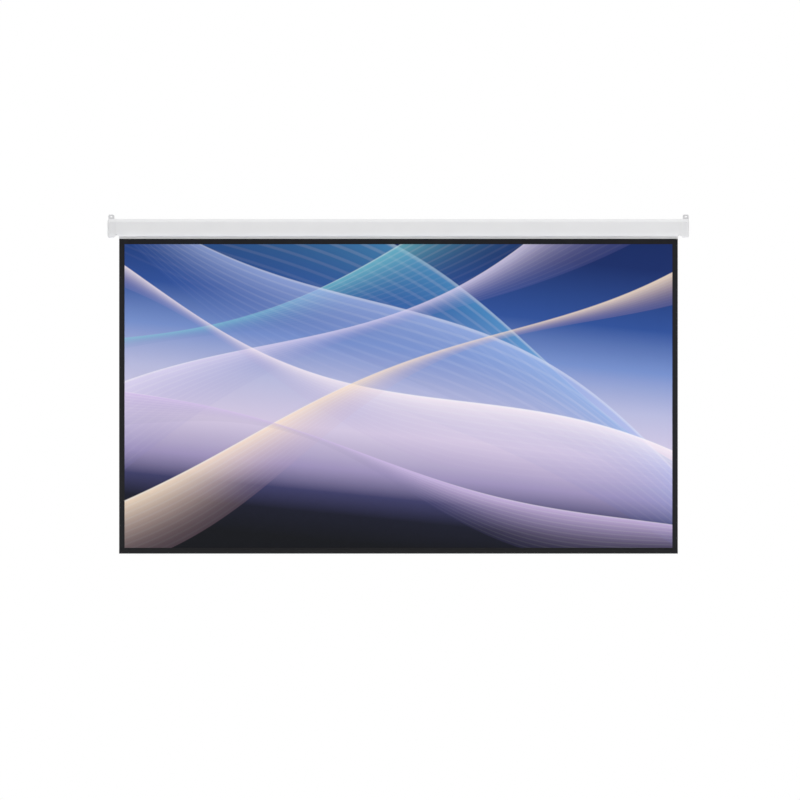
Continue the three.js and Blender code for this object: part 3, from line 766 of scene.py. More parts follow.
def moved_left(path: Array, distance: float, closed: bool = False) -> Array:
    """The path moved to its left, with each point on the line that halves its two neighbours' directions.

    Args:
        path: The points of the path.
        distance: How far every run of it moves.
        closed: Whether the path closes on itself.

    Returns:
        The moved points.
    """
    if closed:
        before, after = path - np.roll(path, 1, axis=0), np.roll(path, -1, axis=0) - path
    else:
        step = np.diff(path, axis=0)
        before, after = np.vstack([step[:1], step]), np.vstack([step, step[-1:]])
    before = before / np.linalg.norm(before, axis=1)[:, None]
    after = after / np.linalg.norm(after, axis=1)[:, None]
    left = np.stack([-(before + after)[:, 1], (before + after)[:, 0]], axis=1)
    left /= np.linalg.norm(left, axis=1)[:, None]
    share = left[:, 0] * -before[:, 1] + left[:, 1] * before[:, 0]
    return path + left * (distance / share)[:, None]


def arc(radius: float, start: float, end: float, steps: int,
        centre: tuple[float, float] = (0, 0)) -> Array:
    """Points on an arc between two angles in degrees, both ends included."""
    turn = np.radians(np.linspace(start, end, steps + 1))
    return np.stack([centre[0] + radius * np.cos(turn), centre[1] + radius * np.sin(turn)], axis=1)


def quarter(steps: int) -> tuple[Array, Array]:
    """How an edge's round eases in: 1 minus the sine and 1 minus the cosine over a quarter turn."""
    turn = np.linspace(0, math.pi / 2, steps + 1)
    return 1 - np.sin(turn), 1 - np.cos(turn)


# Pieces


def in_scene(name: str, data: bpy.types.ID) -> bpy.types.Object:
    """Makes an object at the origin of the scene.

    Args:
        name: Its name.
        data: Its mesh, light or camera.

    Returns:
        The object.
    """
    made = bpy.data.objects.new(name, data)
    bpy.context.scene.collection.objects.link(made)
    return made


def axis_of(node: str) -> tuple[float, float]:
    """Depth and height of the middle of a solid's box."""
    low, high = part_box(node)
    return (low.y + high.y) / 2, (low.z + high.z) / 2


def make_piece(name: str, skins: Sequence[Skin], finishes: Sequence[Finish], sharp: float = CREASE,
               bevel: float = 0.0) -> bpy.types.Object:
    """Joins skins into one mesh object at the origin, its faces outward and its creases sharp.

    Args:
        name: The piece's name.
        skins: The stretches of surface that it is made of.
        finishes: Its finishes, by the numbers that the skins use.
        sharp: Angle in degrees past which an edge stays a crease.
        bevel: Width in metres of a small round on each crease, or nothing.

    Returns:
        The new object, linked to the scene.
    """
    mesh = bpy.data.meshes.new(name)
    starts = np.cumsum([0] + [len(skin.points) for skin in skins])
    faces = [[start + i for i in face] for skin, start in zip(skins, starts) for face in skin.faces]
    mesh.from_pydata(np.concatenate([skin.points for skin in skins]).tolist(), [], faces)
    numbers = np.concatenate([np.full(len(skin.faces), skin.finish) for skin in skins])
    mesh.polygons.foreach_set("material_index", numbers.astype(np.int32))
    if all(skin.cloth is not None for skin in skins):
        corners = np.empty(len(mesh.loops), np.int32)
        mesh.loops.foreach_get("vertex_index", corners)
        places = np.concatenate([skin.cloth for skin in skins])[corners]
        mesh.uv_layers.new(name="cloth").data.foreach_set("uv", places.astype(np.float32).ravel())
    for finish in finishes:
        mesh.materials.append(finish.material())
    return placed(mesh, sharp, bevel)


def placed(mesh: bpy.types.Mesh, sharp: float, bevel: float) -> bpy.types.Object:
    """Settles a mesh, puts it in the scene at the origin and rounds its creases.

    Args:
        mesh: The mesh.
        sharp: Angle in degrees past which an edge is a crease.
        bevel: Width in metres of a small round on each crease, or nothing.

    Returns:
        The new object.
    """
    settle(mesh, sharp)
    piece = in_scene(mesh.name, mesh)
    if bevel:
        ease(piece, sharp, bevel)
    return piece


def ease(piece: bpy.types.Object, sharp: float, bevel: float, segments: int = 2) -> None:
    """Rounds a piece's creases.

    Args:
        piece: The piece.
        sharp: Angle in degrees past which an edge is a crease.
        bevel: Width in metres of the round.
        segments: How many stretches the round has.
    """
    modifier = piece.modifiers.new("edge_round", "BEVEL")
    modifier.width, modifier.segments, modifier.limit_method = bevel, segments, "ANGLE"
    modifier.angle_limit, modifier.harden_normals = math.radians(sharp), True


def settle(mesh: bpy.types.Mesh, sharp: float = CREASE) -> None:
    """Merges doubles, turns every face outwards and marks the creases.

    Args:
        mesh: The mesh.
        sharp: Angle in degrees past which an edge is a crease.
    """
    work = bmesh.new()
    work.from_mesh(mesh)
    bmesh.ops.remove_doubles(work, verts=work.verts, dist=WELD)
    bmesh.ops.dissolve_degenerate(work, edges=work.edges, dist=SLIVER)
    bmesh.ops.recalc_face_normals(work, faces=work.faces)
    work.to_mesh(mesh)
    work.free()
    mesh.shade_smooth()
    mesh.set_sharp_from_angle(angle=math.radians(sharp))


def combined(target: bpy.types.Object, tool: bpy.types.Object, operation: str = "DIFFERENCE") -> None:
    """Cuts a closed tool away from a piece or joins it on, and removes the tool.

    Args:
        target: The piece.
        tool: The tool.
        operation: Blender's name of the operation.
    """
    modifier = target.modifiers.new("work", "BOOLEAN")
    modifier.object, modifier.operation, modifier.solver = tool, operation, "EXACT"
    ready = target.evaluated_get(bpy.context.evaluated_depsgraph_get())
    old, target.data = target.data, bpy.data.meshes.new_from_object(ready)
    target.data.name = target.name
    target.modifiers.clear()
    bpy.data.meshes.remove(old)
    bpy.data.objects.remove(tool)


def cutter(skin: Skin) -> bpy.types.Object:
    """A closed surface as a bare tool for cutting or joining."""
    return make_piece("tool", [skin], [])


def drill(piece: bpy.types.Object, radius: float, centre: tuple[float, float], stations: Sequence[float],
          steps: int) -> None:
    """Cuts a round hole along X through a piece, between two stations in either order."""
    combined(piece, cutter(prism(arc(radius, 0, 360, steps, centre)[:-1], sorted(stations))))


def seat(piece: bpy.types.Object, body: str, slot: str, *nodes: str) -> bpy.types.Object:
    """Rides a piece on its body, hides the solids that it stands for, and reports it.

    Args:
        piece: The piece.
        body: The body that it rides on.
        slot: The record's material slot that it takes its finish from; not used.
        *nodes: The solids that it stands for.

    Returns:
        The piece.
    """
    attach(piece, body)
    if nodes:
        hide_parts(*nodes)
    log.info("%s rides on %s for %s", piece.name, body, ", ".join(nodes) or "nothing else")
    return piece


# Sub-assemblies


class Side(Enum):
    """The two ends of the case, by the sign of X."""

    LEFT = -1
    RIGHT = 1

    @property
    def word(self) -> str:
        """The side's word in the names of pieces."""
        return self.name.lower()


@dataclass
class Section:
    """The housing's section in depth and height, shared by the case and its end caps."""

    top: float
    bottom: float
    front: float
    back: float
    chamfer: float = 12 * MM
    nose_height: float = 18 * MM
    nose_depth: float = 12 * MM
    rear_chamfer: float = 6 * MM
    bend: float = 2 * MM
    mitre_height: float = 9.5 * MM
    nose_steps: int = 20

    def corners(self, back: float, bottom: float) -> tuple[Array, Array]:
        """Corners from the rear of the foot, up the back, over the top and down to the nose.

        The nose is a quarter of an ellipse: depth is the front plus the nose's depth times 1 minus a
        cosine, and height is the foot plus the nose's height times 1 minus a sine.

        Args:
            back: Depth of the rear face.
            bottom: Height of the foot.

        Returns:
            The corners, and the radius that each is bent to.
        """
        down, inward = quarter(self.nose_steps)
        rise = self.bottom + self.nose_height - bottom
        nose = np.stack([self.front + self.nose_depth * inward, bottom + rise * down], axis=1)
        corners = np.array([
            (back - self.rear_chamfer, bottom),
            (back, bottom + self.rear_chamfer),
            (back, self.top - self.rear_chamfer),
            (back - self.rear_chamfer, self.top),
            (self.front + self.chamfer, self.top),
            (self.front, self.top - self.chamfer),
        ])
        return np.vstack([corners, nose]), np.repeat([self.bend, 0.0], [len(corners), len(nose)])

    def closed(self, back: float, bottom: float, inset: float = 0.0) -> Array:
        """The whole outline, moved inwards by an inset that its bends lose from their radius."""
        corners, bends = self.corners(back, bottom)
        return rounded(moved_left(corners, inset, closed=True), np.maximum(bends - inset, 0.0))


@dataclass
class Case:
    """The roll-formed shell: one bent strip with returned lips, mitred at both ends of its slot."""

    section: Section
    cloth_half: float
    half: float
    slot_rear: float = -12.3 * MM
    slot_front: float = -22 * MM
    wall: float = 1.2 * MM
    lip: float = 5 * MM
    stations: int = 65

    def build(self) -> bpy.types.Object:
        """Carries the strip's section along the case.

        Every point lies at a share from -1 to 1 of its own row's end, and a row's end is the shell's end,
        or where the mitre's slope crosses that height. The back has a row of its own where the mitre
        starts.

        Returns:
            The finished shell.
        """
        s, on_back = self.section, 2
        corners, bends = s.corners(s.back, s.bottom)
        corners = np.insert(corners, on_back, (s.back, s.bottom + s.mitre_height), axis=0)
        bends = np.insert(bends, on_back, 0.0)
        lip_top = s.bottom + self.lip
        corners = np.vstack([[(self.slot_rear, lip_top), (self.slot_rear, s.bottom)], corners,
                             [(self.slot_front, s.bottom), (self.slot_front, lip_top)]])
        bends = np.concatenate([[0, s.bend], bends, [s.bend, 0]])
        outer = rounded(corners, bends, closed=False)
        ring = np.vstack([outer, moved_left(outer, self.wall)[::-1]])
        slope = (self.half - self.cloth_half) / s.mitre_height
        ends = np.minimum(self.half, self.cloth_half + np.maximum(ring[:, 1] - s.bottom, 0) * slope)
        share = np.linspace(-1, 1, self.stations)
        points = carried(ring, share)
        points[:, 0] *= np.tile(ends, self.stations)
        skin = Skin(points, strip_faces(self.stations, len(outer)))
        piece = make_piece("case_shell_rolled", [skin], [CASE_PAINT])
        return seat(piece, "case", "case_paint", "case_shell")


@dataclass
class EndCap:
    """A hollow moulded cap with a crowned end, a hanging ear, a sloped foot and two screw recesses."""

    side: Side
    section: Section
    start: float
    end: float
    ear_top: float
    roller: tuple[float, float]
    case_gap: float = 0.3 * MM
    wall: float = 3.5 * MM
    end_wall: float = 5 * MM
    crown: float = 6 * MM
    crown_inset: float = 13 * MM
    foot_drop: float = 5.2 * MM
    foot_rise: float = 10.4 * MM
    foot_run: float = 11 * MM
    toe_rise: float = 0.8 * MM
    toe_run: float = 20 * MM
    ear_inset: float = 1.5 * MM
    ear_width: float = 24 * MM
    ear_depth: float = 8 * MM
    ear_root: float = 13 * MM
    ear_round: float = 7.5 * MM
    ear_ease: float = 1.8 * MM
    slot_length: float = 9 * MM
    slot_width: float = 4.5 * MM
    spigot: float = 15 * MM
    spigot_root: float = 6 * MM
    spigot_wall: float = 2 * MM
    spigot_seat: float = 1.5 * MM
    screw_offset: float = 18 * MM
    screw_hole: float = 2.1 * MM
    head_hole: float = 4.3 * MM
    head_recess: float = 2.5 * MM
    over: float = 4 * MM
    crown_steps: int = 16
    ear_steps: int = 12
    ease_steps: int = 6
    slot_steps: int = 16
    round_steps: int = 48

    @property
    def foot(self) -> float:
        """Height of the cap's lowest edge."""
        return self.section.bottom - self.foot_drop

    def body(self) -> Skin:
        """The outer skin: rings of the section that shrink towards the end.

        At each step of a quarter turn the station is the end less the crown times 1 minus the sine, and
        the inset is the crown's inset times 1 minus the cosine. Depth shrinks towards the wall, so that
        the rear edge stays square, and height shrinks towards the middle.

        Returns:
            The closed skin.
        """
        outline = self.section.closed(0.0, self.foot)
        short, inward = quarter(self.crown_steps)
        station = np.concatenate([[self.start], self.end - self.crown * short])
        inset = np.concatenate([[0], self.crown_inset * inward])[:, None]
        top, front = self.section.top, self.section.front
        middle = (top + self.foot) / 2
        depth = outline[:, 0] * (1 + inset / front)
        height = middle + (outline[:, 1] - middle) * (1 - inset / (top - middle))
        return capped(gridded(self.side.value * station[:, None], depth, height))

    def upright(self, outlines: Array, depths: Sequence[float]) -> Skin:
        """The closed surface of one (station, height) outline, or one a depth, carried through the case."""
        x, z = self.side.value * outlines[..., 0], outlines[..., 1]
        return capped(gridded(x, np.asarray(depths)[:, None], z))

    def along(self, outline: Array, low: float, high: float) -> Skin:
        """A (depth, height) outline carried along X between two stations of this side."""
        return prism(outline, sorted((self.side.value * low, self.side.value * high)))

    def below_foot(self, raised: float) -> Skin:
        """Everything below the foot's slope and toe.

        Args:
            raised: How far the slope and toe are raised.

        Returns:
            The closed surface.
        """
        low, bend = self.foot - self.over, self.start + self.foot_run
        steep = (self.foot_rise - self.toe_rise) / self.foot_run
        outline = np.array([
            (self.start - self.over, low),
            (self.end + self.over, low),
            (self.end + self.over, self.foot + raised),
            (bend + self.toe_run, self.foot + raised),
            (bend, self.foot + self.toe_rise + raised),
            (self.start - self.over, self.foot + self.foot_rise + self.over * steep + raised),
        ])
        return self.upright(outline, (self.over, self.section.front - self.over))

    def ear(self) -> Skin:
        """The hanging lug on the wall side, rooted in the cap's back, its top corners and front edge rounded.

        Over the front edge's quarter turn the inset is the ease times 1 minus the cosine, and the depth
        loses the ease times 1 minus the sine.

        Returns:
            The closed skin.
        """
        outer = self.end - self.ear_inset
        inner, foot = outer - self.ear_width, self.section.top - self.ear_root
        sharp = np.array([(inner, foot), (outer, foot), (outer, self.ear_top), (inner, self.ear_top)])
        outline = rounded(sharp, (0, 0, self.ear_round, self.ear_round), self.ear_steps)
        shallow, inward = quarter(self.ease_steps)
        rings = [moved_left(outline, inset, closed=True) for inset in self.ear_ease * inward]
        return self.upright(np.stack([outline, *rings]), [0.0, *(self.ear_ease * shallow - self.ear_depth)])

    def slot(self) -> Skin:
        """The slot through the ear: two half circles joined by straight runs.

        Returns:
            The closed surface.
        """
        middle, radius = self.end - self.ear_inset - self.ear_width / 2, self.slot_width / 2
        reach = self.slot_length / 2 - radius
        outline = np.vstack([arc(radius, -90, 90, self.slot_steps, (middle + reach, 0)),
                             arc(radius, 90, 270, self.slot_steps, (middle - reach, 0))])
        return self.upright(outline, (self.over, -self.ear_depth - self.over))

    def sleeve(self, inset: float, low: float, high: float) -> bpy.types.Object:
        """The case's section at an inset between two stations, ended above the case's mitre.

        Args:
            inset: How far inside the case's outer face it lies.
            low: Its inner station.
            high: Its outer station.

        Returns:
            The sleeve as a tool.
        """
        s, over = self.section, self.over
        front, foot, mitre_top = s.front - over, s.bottom - over, s.bottom + s.mitre_height + over
        below = np.array([(front, foot), (over, foot), (over, mitre_top), (front, mitre_top)])
        made = cutter(self.along(s.closed(s.back, s.bottom, inset), low, high))
        combined(made, cutter(self.along(below, low - over, high + over)))
        return made

    def build(self) -> bpy.types.Object:
        """Joins the skin, ear and spigot, and cuts the hollow, foot, slot and screw holes.

        Returns:
            The finished cap.
        """
        hollow = self.section.closed(0.0, self.foot, self.wall)
        room = cutter(self.along(hollow, self.start - self.over, self.end - self.end_wall))
        combined(room, cutter(self.below_foot(self.wall)))
        inward, root = self.start - self.spigot, self.start + self.spigot_root
        spigot = self.sleeve(self.spigot_seat, inward, root)
        mouth = self.sleeve(self.spigot_seat + self.spigot_wall, inward - self.over, root + self.over)
        name = f"{self.side.word}_end_cap"
        cap = make_piece(f"{name}_moulded", [self.body()], [CAP_PLASTIC])
        for tool, operation in (
            (cutter(self.ear()), "UNION"),
            (cutter(self.below_foot(0.0)), "DIFFERENCE"),
            (room, "DIFFERENCE"),
            (spigot, "UNION"),
            (mouth, "DIFFERENCE"),
            (cutter(self.slot()), "DIFFERENCE"),
        ):
            combined(cap, tool, operation)
        through, recess = self.end_wall + self.over, self.head_recess
        for rise in (-self.screw_offset, self.screw_offset):
            centre = (self.roller[0], self.roller[1] + rise)
            for radius, deep in ((self.screw_hole, through), (self.head_hole, recess)):
                stations = [self.side.value * station for station in (self.end - deep, self.end + self.over)]
                drill(cap, radius, centre, stations, self.round_steps)
        settle(cap.data)
        return seat(cap, "case", "cap_plastic", name)


class ScrewSize(Enum):
    """Head radius, head height and shank radius of the two kinds of screw."""

    CAP = (4 * MM, 2.2 * MM, 1.8 * MM)
    GRIP = (2.8 * MM, 1.4 * MM, 1.4 * MM)


@dataclass
class CrossScrew:
    """A pan-head screw with a tapered cross recess, lying along X or along Y."""

    node: str
    body: str
    along: Vector
    size: ScrewSize
    rim_share: float = 0.45
    arm_share: float = 0.14
    reach_share: float = 0.58
    depth_share: float = 0.72
    taper: float = 0.62
    over: float = 1 * MM
    dome_steps: int = 12
    round_steps: int = 48

    def build(self) -> bpy.types.Object:
        """Turns the screw about its own axis, cuts its recess and lays it where its solid is.

        The head is a straight rim under a dome: at each step of a quarter turn the radius is the head's
        times the cosine, and the station rises from the rim to the top by the sine. The recess is a cross
        of four equal arms that narrows to the taper at its bottom.

        Returns:
            The finished screw.
        """
        low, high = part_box(self.node)
        head_radius, head_height, shank_radius = self.size.value
        axis = self.along.normalized()
        side = axis.orthogonal().normalized()
        basis = np.array([axis, side, axis.cross(side)])
        middle = (low + high) / 2
        centre = (middle.dot(side), middle.dot(axis.cross(side)))
        tail, top = sorted((low.dot(axis), high.dot(axis)))
        under = top - head_height
        drop, inward = quarter(self.dome_steps)
        rise = head_height * (1 - self.rim_share)
        dome = np.stack([top - rise * drop, head_radius * (1 - inward)], axis=1)
        dome[-1, 1] = 0
        shank = [(tail, 0), (tail, shank_radius), (under, shank_radius), (under, head_radius)]
        shape = turned(np.vstack([shank, dome]), centre, self.round_steps)
        arm, reach = self.arm_share * head_radius, self.reach_share * head_radius
        arm_end = np.array([(reach, -arm), (reach, arm), (arm, arm)])
        square = np.array([(0, 1), (-1, 0)])
        cross = np.concatenate([arm_end @ np.linalg.matrix_power(square, i) for i in range(4)])
        recess = prism(cross, (top - self.depth_share * head_height, top + self.over))
        recess.points[:len(cross), 1:] *= self.taper
        recess.points[:, 1:] += centre
        for skin in (shape, recess):
            skin.points = skin.points @ basis
        screw = make_piece(f"{self.node}_pan", [shape], [ZINC])
        combined(screw, cutter(recess))
        settle(screw.data)
        return seat(screw, self.body, "screw_steel", self.node)


@dataclass
class Roller:
    """The tube, the turns of cloth that stay wound on it and the spring inside it."""

    centre: tuple[float, float]
    half: float
    cloth_half: float
    radius: float = 19 * MM
    wall: float = 1 * MM
    leader: float = 0.9 * MM
    seat_gap: float = 0.3 * MM
    leader_turns: int = 2
    first_turn: float = 0.25
    turn_steps: int = 96
    turn_stations: int = 9
    tube_steps: int = 128
    cloth: float = 0.28 * MM
    coils: int = 36
    coil_steps: int = 36
    coil_radius: float = 12 * MM
    wire: float = 1.1 * MM
    wire_sides: int = 10
    wire_crease: float = 40.0
    pitch: float = 5 * MM
    leg_bend: float = 3 * MM
    leg_steps: int = 6

    def tube(self) -> bpy.types.Object:
        """The rolled tube: a thin ring carried between the two plugs.

        Returns:
            The finished tube.
        """
        profile = tube_profile(-self.half, self.half, self.radius, self.radius - self.wall)
        skin = turned(profile, self.centre, self.tube_steps)
        piece = make_piece("roller_tube_rolled", [skin], [GALVANISED])
        return seat(piece, "roller", "tube_steel", "roller_tube")

    def turns(self) -> bpy.types.Object:
        """The turns that never unwind.

        The spiral's radius grows evenly with its angle, from just clear of the tube to the leader's build.

        Returns:
            The finished turns.
        """
        share = np.linspace(0, 1, self.turn_steps * self.leader_turns + 1)
        turn = -TAU * (self.leader_turns * share + self.first_turn)
        radius = self.radius + self.seat_gap + (self.leader - self.cloth - self.seat_gap) * share
        stations = np.linspace(-self.cloth_half, self.cloth_half, self.turn_stations)
        skin = wound(self.centre, turn, radius, self.cloth, stations)
        piece = make_piece("cloth_turns_on_roller", [skin], [BACK_CLOTH])
        return seat(piece, "roller", "screen_cloth", "wound_leader")

    def leg(self, angle: float, base: float, way: int) -> Array:
        """One end of the spring's wire: a quarter bend out of the coil into a leg along X.

        Args:
            angle: Where on its turn the coil ends.
            base: The coil's last station.
            way: The sign of X that the leg runs to.

        Returns:
            Points from the coil to the leg's tip.
        """
        behind, ahead = quarter(self.leg_steps)
        shift, forth = way * self.leg_bend * (1 - behind[1:]), way * self.leg_bend * ahead[1:]
        bend = np.stack([base + forth, self.coil_radius * math.cos(angle) - shift * math.sin(angle),
                         self.coil_radius * math.sin(angle) + shift * math.cos(angle)], axis=1)
        return np.vstack([bend, bend[-1] + (way * 2 * self.wire, 0, 0)])

    def spring(self) -> bpy.types.Object:
        """The torsion spring: a helix whose legs bend square to the collar and the plug.

        The helix's place is (start + pitch times the turns, radius times the cosine, radius times the
        sine).

        Returns:
            The finished spring.
        """
        low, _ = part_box("torsion_spring")
        turn = np.linspace(0, TAU * self.coils, self.coil_steps * self.coils + 1)
        station = low.x + 2 * self.wire + self.leg_bend + self.pitch * turn / TAU
        helix = np.stack([station, self.coil_radius * np.cos(turn), self.coil_radius * np.sin(turn)], axis=1)
        first, last = self.leg(0.0, station[0], -1)[::-1], self.leg(turn[-1], station[-1], 1)
        skin = tube(np.vstack([first, helix, last]), self.wire, self.wire_sides)
        skin.points += (0, *self.centre)
        piece = make_piece("torsion_spring_wound", [skin], [WIRE], self.wire_crease)
        return seat(piece, "case", "spring_steel", "torsion_spring")


@dataclass
class Mechanism:
    """The plates, shafts, ratchet and plugs inside the ends, each with its edges eased."""

    frame: dict
    centre: tuple[float, float]
    ease: float = 0.25 * MM
    flat: float = 1.0
    weld: float = 0.001 * MM
    gap: float = 0.3 * MM
    spindle: float = 4 * MM
    spindle_flat: float = 3 * MM
    plug: float = 17.7 * MM
    flange: float = 22 * MM
    flange_width: float = 4 * MM
    collar: float = 15 * MM
    bush: float = 7 * MM
    bush_flange: float = 9.5 * MM
    bush_flange_width: float = 2 * MM
    pin: float = 1.4 * MM
    pin_head: float = 2.6 * MM
    pin_head_height: float = 1.2 * MM
    wheel: float = 9.6 * MM
    notch: float = 7.2 * MM
    notch_turns: tuple[float, float] = (60.0, 240.0)
    notch_heel: float = 54.0
    notch_lead: float = 64.5
    notch_ramp: float = 218.0
    round_steps: int = 96
    rim_steps: int = 48
    bar_steps: int = 16

    def install(self, piece: bpy.types.Object, node: str) -> None:
        """Seats a piece on the body of the solid that it stands for.

        Args:
            piece: The piece.
            node: The solid.
        """
        slots = {part["node"]: part["material_slot"] for part in self.frame["record"]["subparts"]}
        seat(piece, self.frame["nodes"][node]["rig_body"], slots[node], node)

    def joined(self, mesh: bpy.types.Mesh) -> bpy.types.Mesh:
        """Merges a mesh's doubles and joins its faces that lie in one plane, so that its edges ease cleanly.

        Args:
            mesh: The mesh.

        Returns:
            The same mesh.
        """
        work = bmesh.new()
        work.from_mesh(mesh)
        flat = math.radians(self.flat)
        bmesh.ops.remove_doubles(work, verts=work.verts, dist=self.weld)
        bmesh.ops.dissolve_limit(work, angle_limit=flat, verts=work.verts, edges=work.edges)
        work.to_mesh(mesh)
        work.free()
        return mesh

    def cleaned(self, piece: bpy.types.Object) -> None:
        """Joins a cut piece's flat faces and eases its edges."""
        settle(self.joined(piece.data))
        ease(piece, CREASE, self.ease)

    def pressed(self, made: str, finish: Finish, *nodes: str) -> None:
        """Copies solids whose shapes are right.

        Args:
            made: How the real ones are shaped, for the names of the pieces.
            finish: Their finish.
            *nodes: The solids.
        """
        for node in nodes:
            mesh = self.frame["nodes"][node].data.copy()
            mesh.name = f"{node}_{made}"
            mesh.materials.clear()
            mesh.materials.append(finish.material())
            mesh.polygons.foreach_set("material_index", np.zeros(len(mesh.polygons), np.int32))
            self.install(placed(self.joined(mesh), CREASE, self.ease), node)

    def turning(self, made: str, finish: Finish, bore: float, steps: Sequence[tuple[float, float]],
                *nodes: str, drilled: Sequence[str] = ()) -> None:
        """Turns round parts about their own axes.

        The profile goes out from the bore at the outer end, along each step's radius to where the next step
        starts, and back to the bore at the inner end.

        Args:
            made: How the real ones are shaped, for the names of the pieces.
            finish: Their finish.
            bore: Radius of the hole through them, or 0.
            steps: How far from the outer end each step starts, and its radius.
            *nodes: The solids that they stand for.
            drilled: The pins that sit in holes in their outer face.
        """
        starts, radii = np.array(steps).T
        for node in nodes:
            low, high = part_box(node)
            outer, inner = sorted((low.x, high.x), key=abs, reverse=True)
            edges = np.append(outer + math.copysign(1, inner - outer) * starts, inner)
            radius = np.concatenate([[bore], np.repeat(radii, 2), [bore]])
            profile = np.stack([np.repeat(edges, 2), radius], axis=1)
            piece = make_piece(f"{node}_{made}", [turned(profile, axis_of(node), self.round_steps)], [finish])
            for pin in drilled:
                low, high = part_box(pin)
                drill(piece, self.pin + self.gap, axis_of(pin), (low.x, high.x + self.gap), self.rim_steps)
            self.cleaned(piece)
            self.install(piece, node)

    def flatted(self, gap: float) -> Array:
        """The outline of the spindle, a round bar with two flats.

        Args:
            gap: How far outside the bar's own face the outline lies.

        Returns:
            The outline in depth and height.
        """
        radius, flat = self.spindle + gap, self.spindle_flat + gap
        tilt = math.degrees(math.asin(flat / radius))
        return np.vstack([arc(radius, start - tilt, start + tilt, self.bar_steps, self.centre)
                          for start in (0, 180)])

    def shaft(self) -> None:
        """The spindle: its outline carried from the bracket to the spring's anchor."""
        low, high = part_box("spindle")
        shape = prism(self.flatted(0.0), (low.x, high.x))
        self.install(make_piece("spindle_drawn", [shape], [ZINC], CREASE, self.ease), "spindle")

    def ratchet(self) -> None:
        """The ratchet wheel: a rim with a steep face and a ramp at each notch, and a hole for the spindle.

        From each notch's turn the rim lies at the notch's radius from heel to lead, rises in a steep face,
        follows the wheel's radius from lead to ramp, and falls in a straight run to the next notch. All of
        these are angles in degrees.
        """
        low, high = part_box("ratchet_wheel")
        heel, lead, ramp = self.notch_heel, self.notch_lead, self.notch_ramp
        rim = np.vstack([
            stretch for turn in self.notch_turns for stretch in (
                arc(self.notch, turn + heel, turn + lead, 1, self.centre),
                arc(self.wheel, turn + lead, turn + ramp, self.rim_steps, self.centre))])
        wheel = make_piece("ratchet_wheel_stamped", [prism(rim, (low.x, high.x))], [DARK_ZINC])
        combined(wheel, cutter(prism(self.flatted(self.gap), (low.x - self.gap, high.x + self.gap))))
        self.cleaned(wheel)
        self.install(wheel, "ratchet_wheel")

    def build(self) -> None:
        """Builds every part of the mechanism."""
        bore = self.spindle + self.gap
        plug = ((0, self.flange), (self.flange_width, self.plug))
        low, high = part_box("idle_bush")
        bush = ((0, self.bush), (high.x - low.x - self.bush_flange_width, self.bush_flange))
        pins = ("pawl_pin_a", "pawl_pin_b")
        self.pressed("pressed", ZINC, "left_bracket", "right_bracket")
        self.pressed("stamped", DARK_ZINC, "pawl_a", "pawl_b")
        self.shaft()
        self.ratchet()
        self.turning("turned", ZINC, 0.0, ((0, self.pin_head), (self.pin_head_height, self.pin)), *pins)
        self.turning("turned", ZINC, bore, ((0, self.collar),), "spring_collar")
        self.turning("drawn", ZINC, 0.0, ((0, self.spindle),), "idle_pin")
        self.turning("moulded", BLACK_PLASTIC, bore, plug, "spring_end_plug", drilled=pins)
        self.turning("moulded", BLACK_PLASTIC, bore, plug, "idle_end_plug")
        self.turning("moulded", BLACK_PLASTIC, bore, ((0, self.plug),), "spring_anchor_plug")
        self.turning("turned", NYLON, bore, bush, "idle_bush")


class Coat(IntEnum):
    """The coats of the hanging cloth, by their place among its finishes."""

    WHITE = 0
    MASK = 1
    PICTURE = 2
    BACK = 3


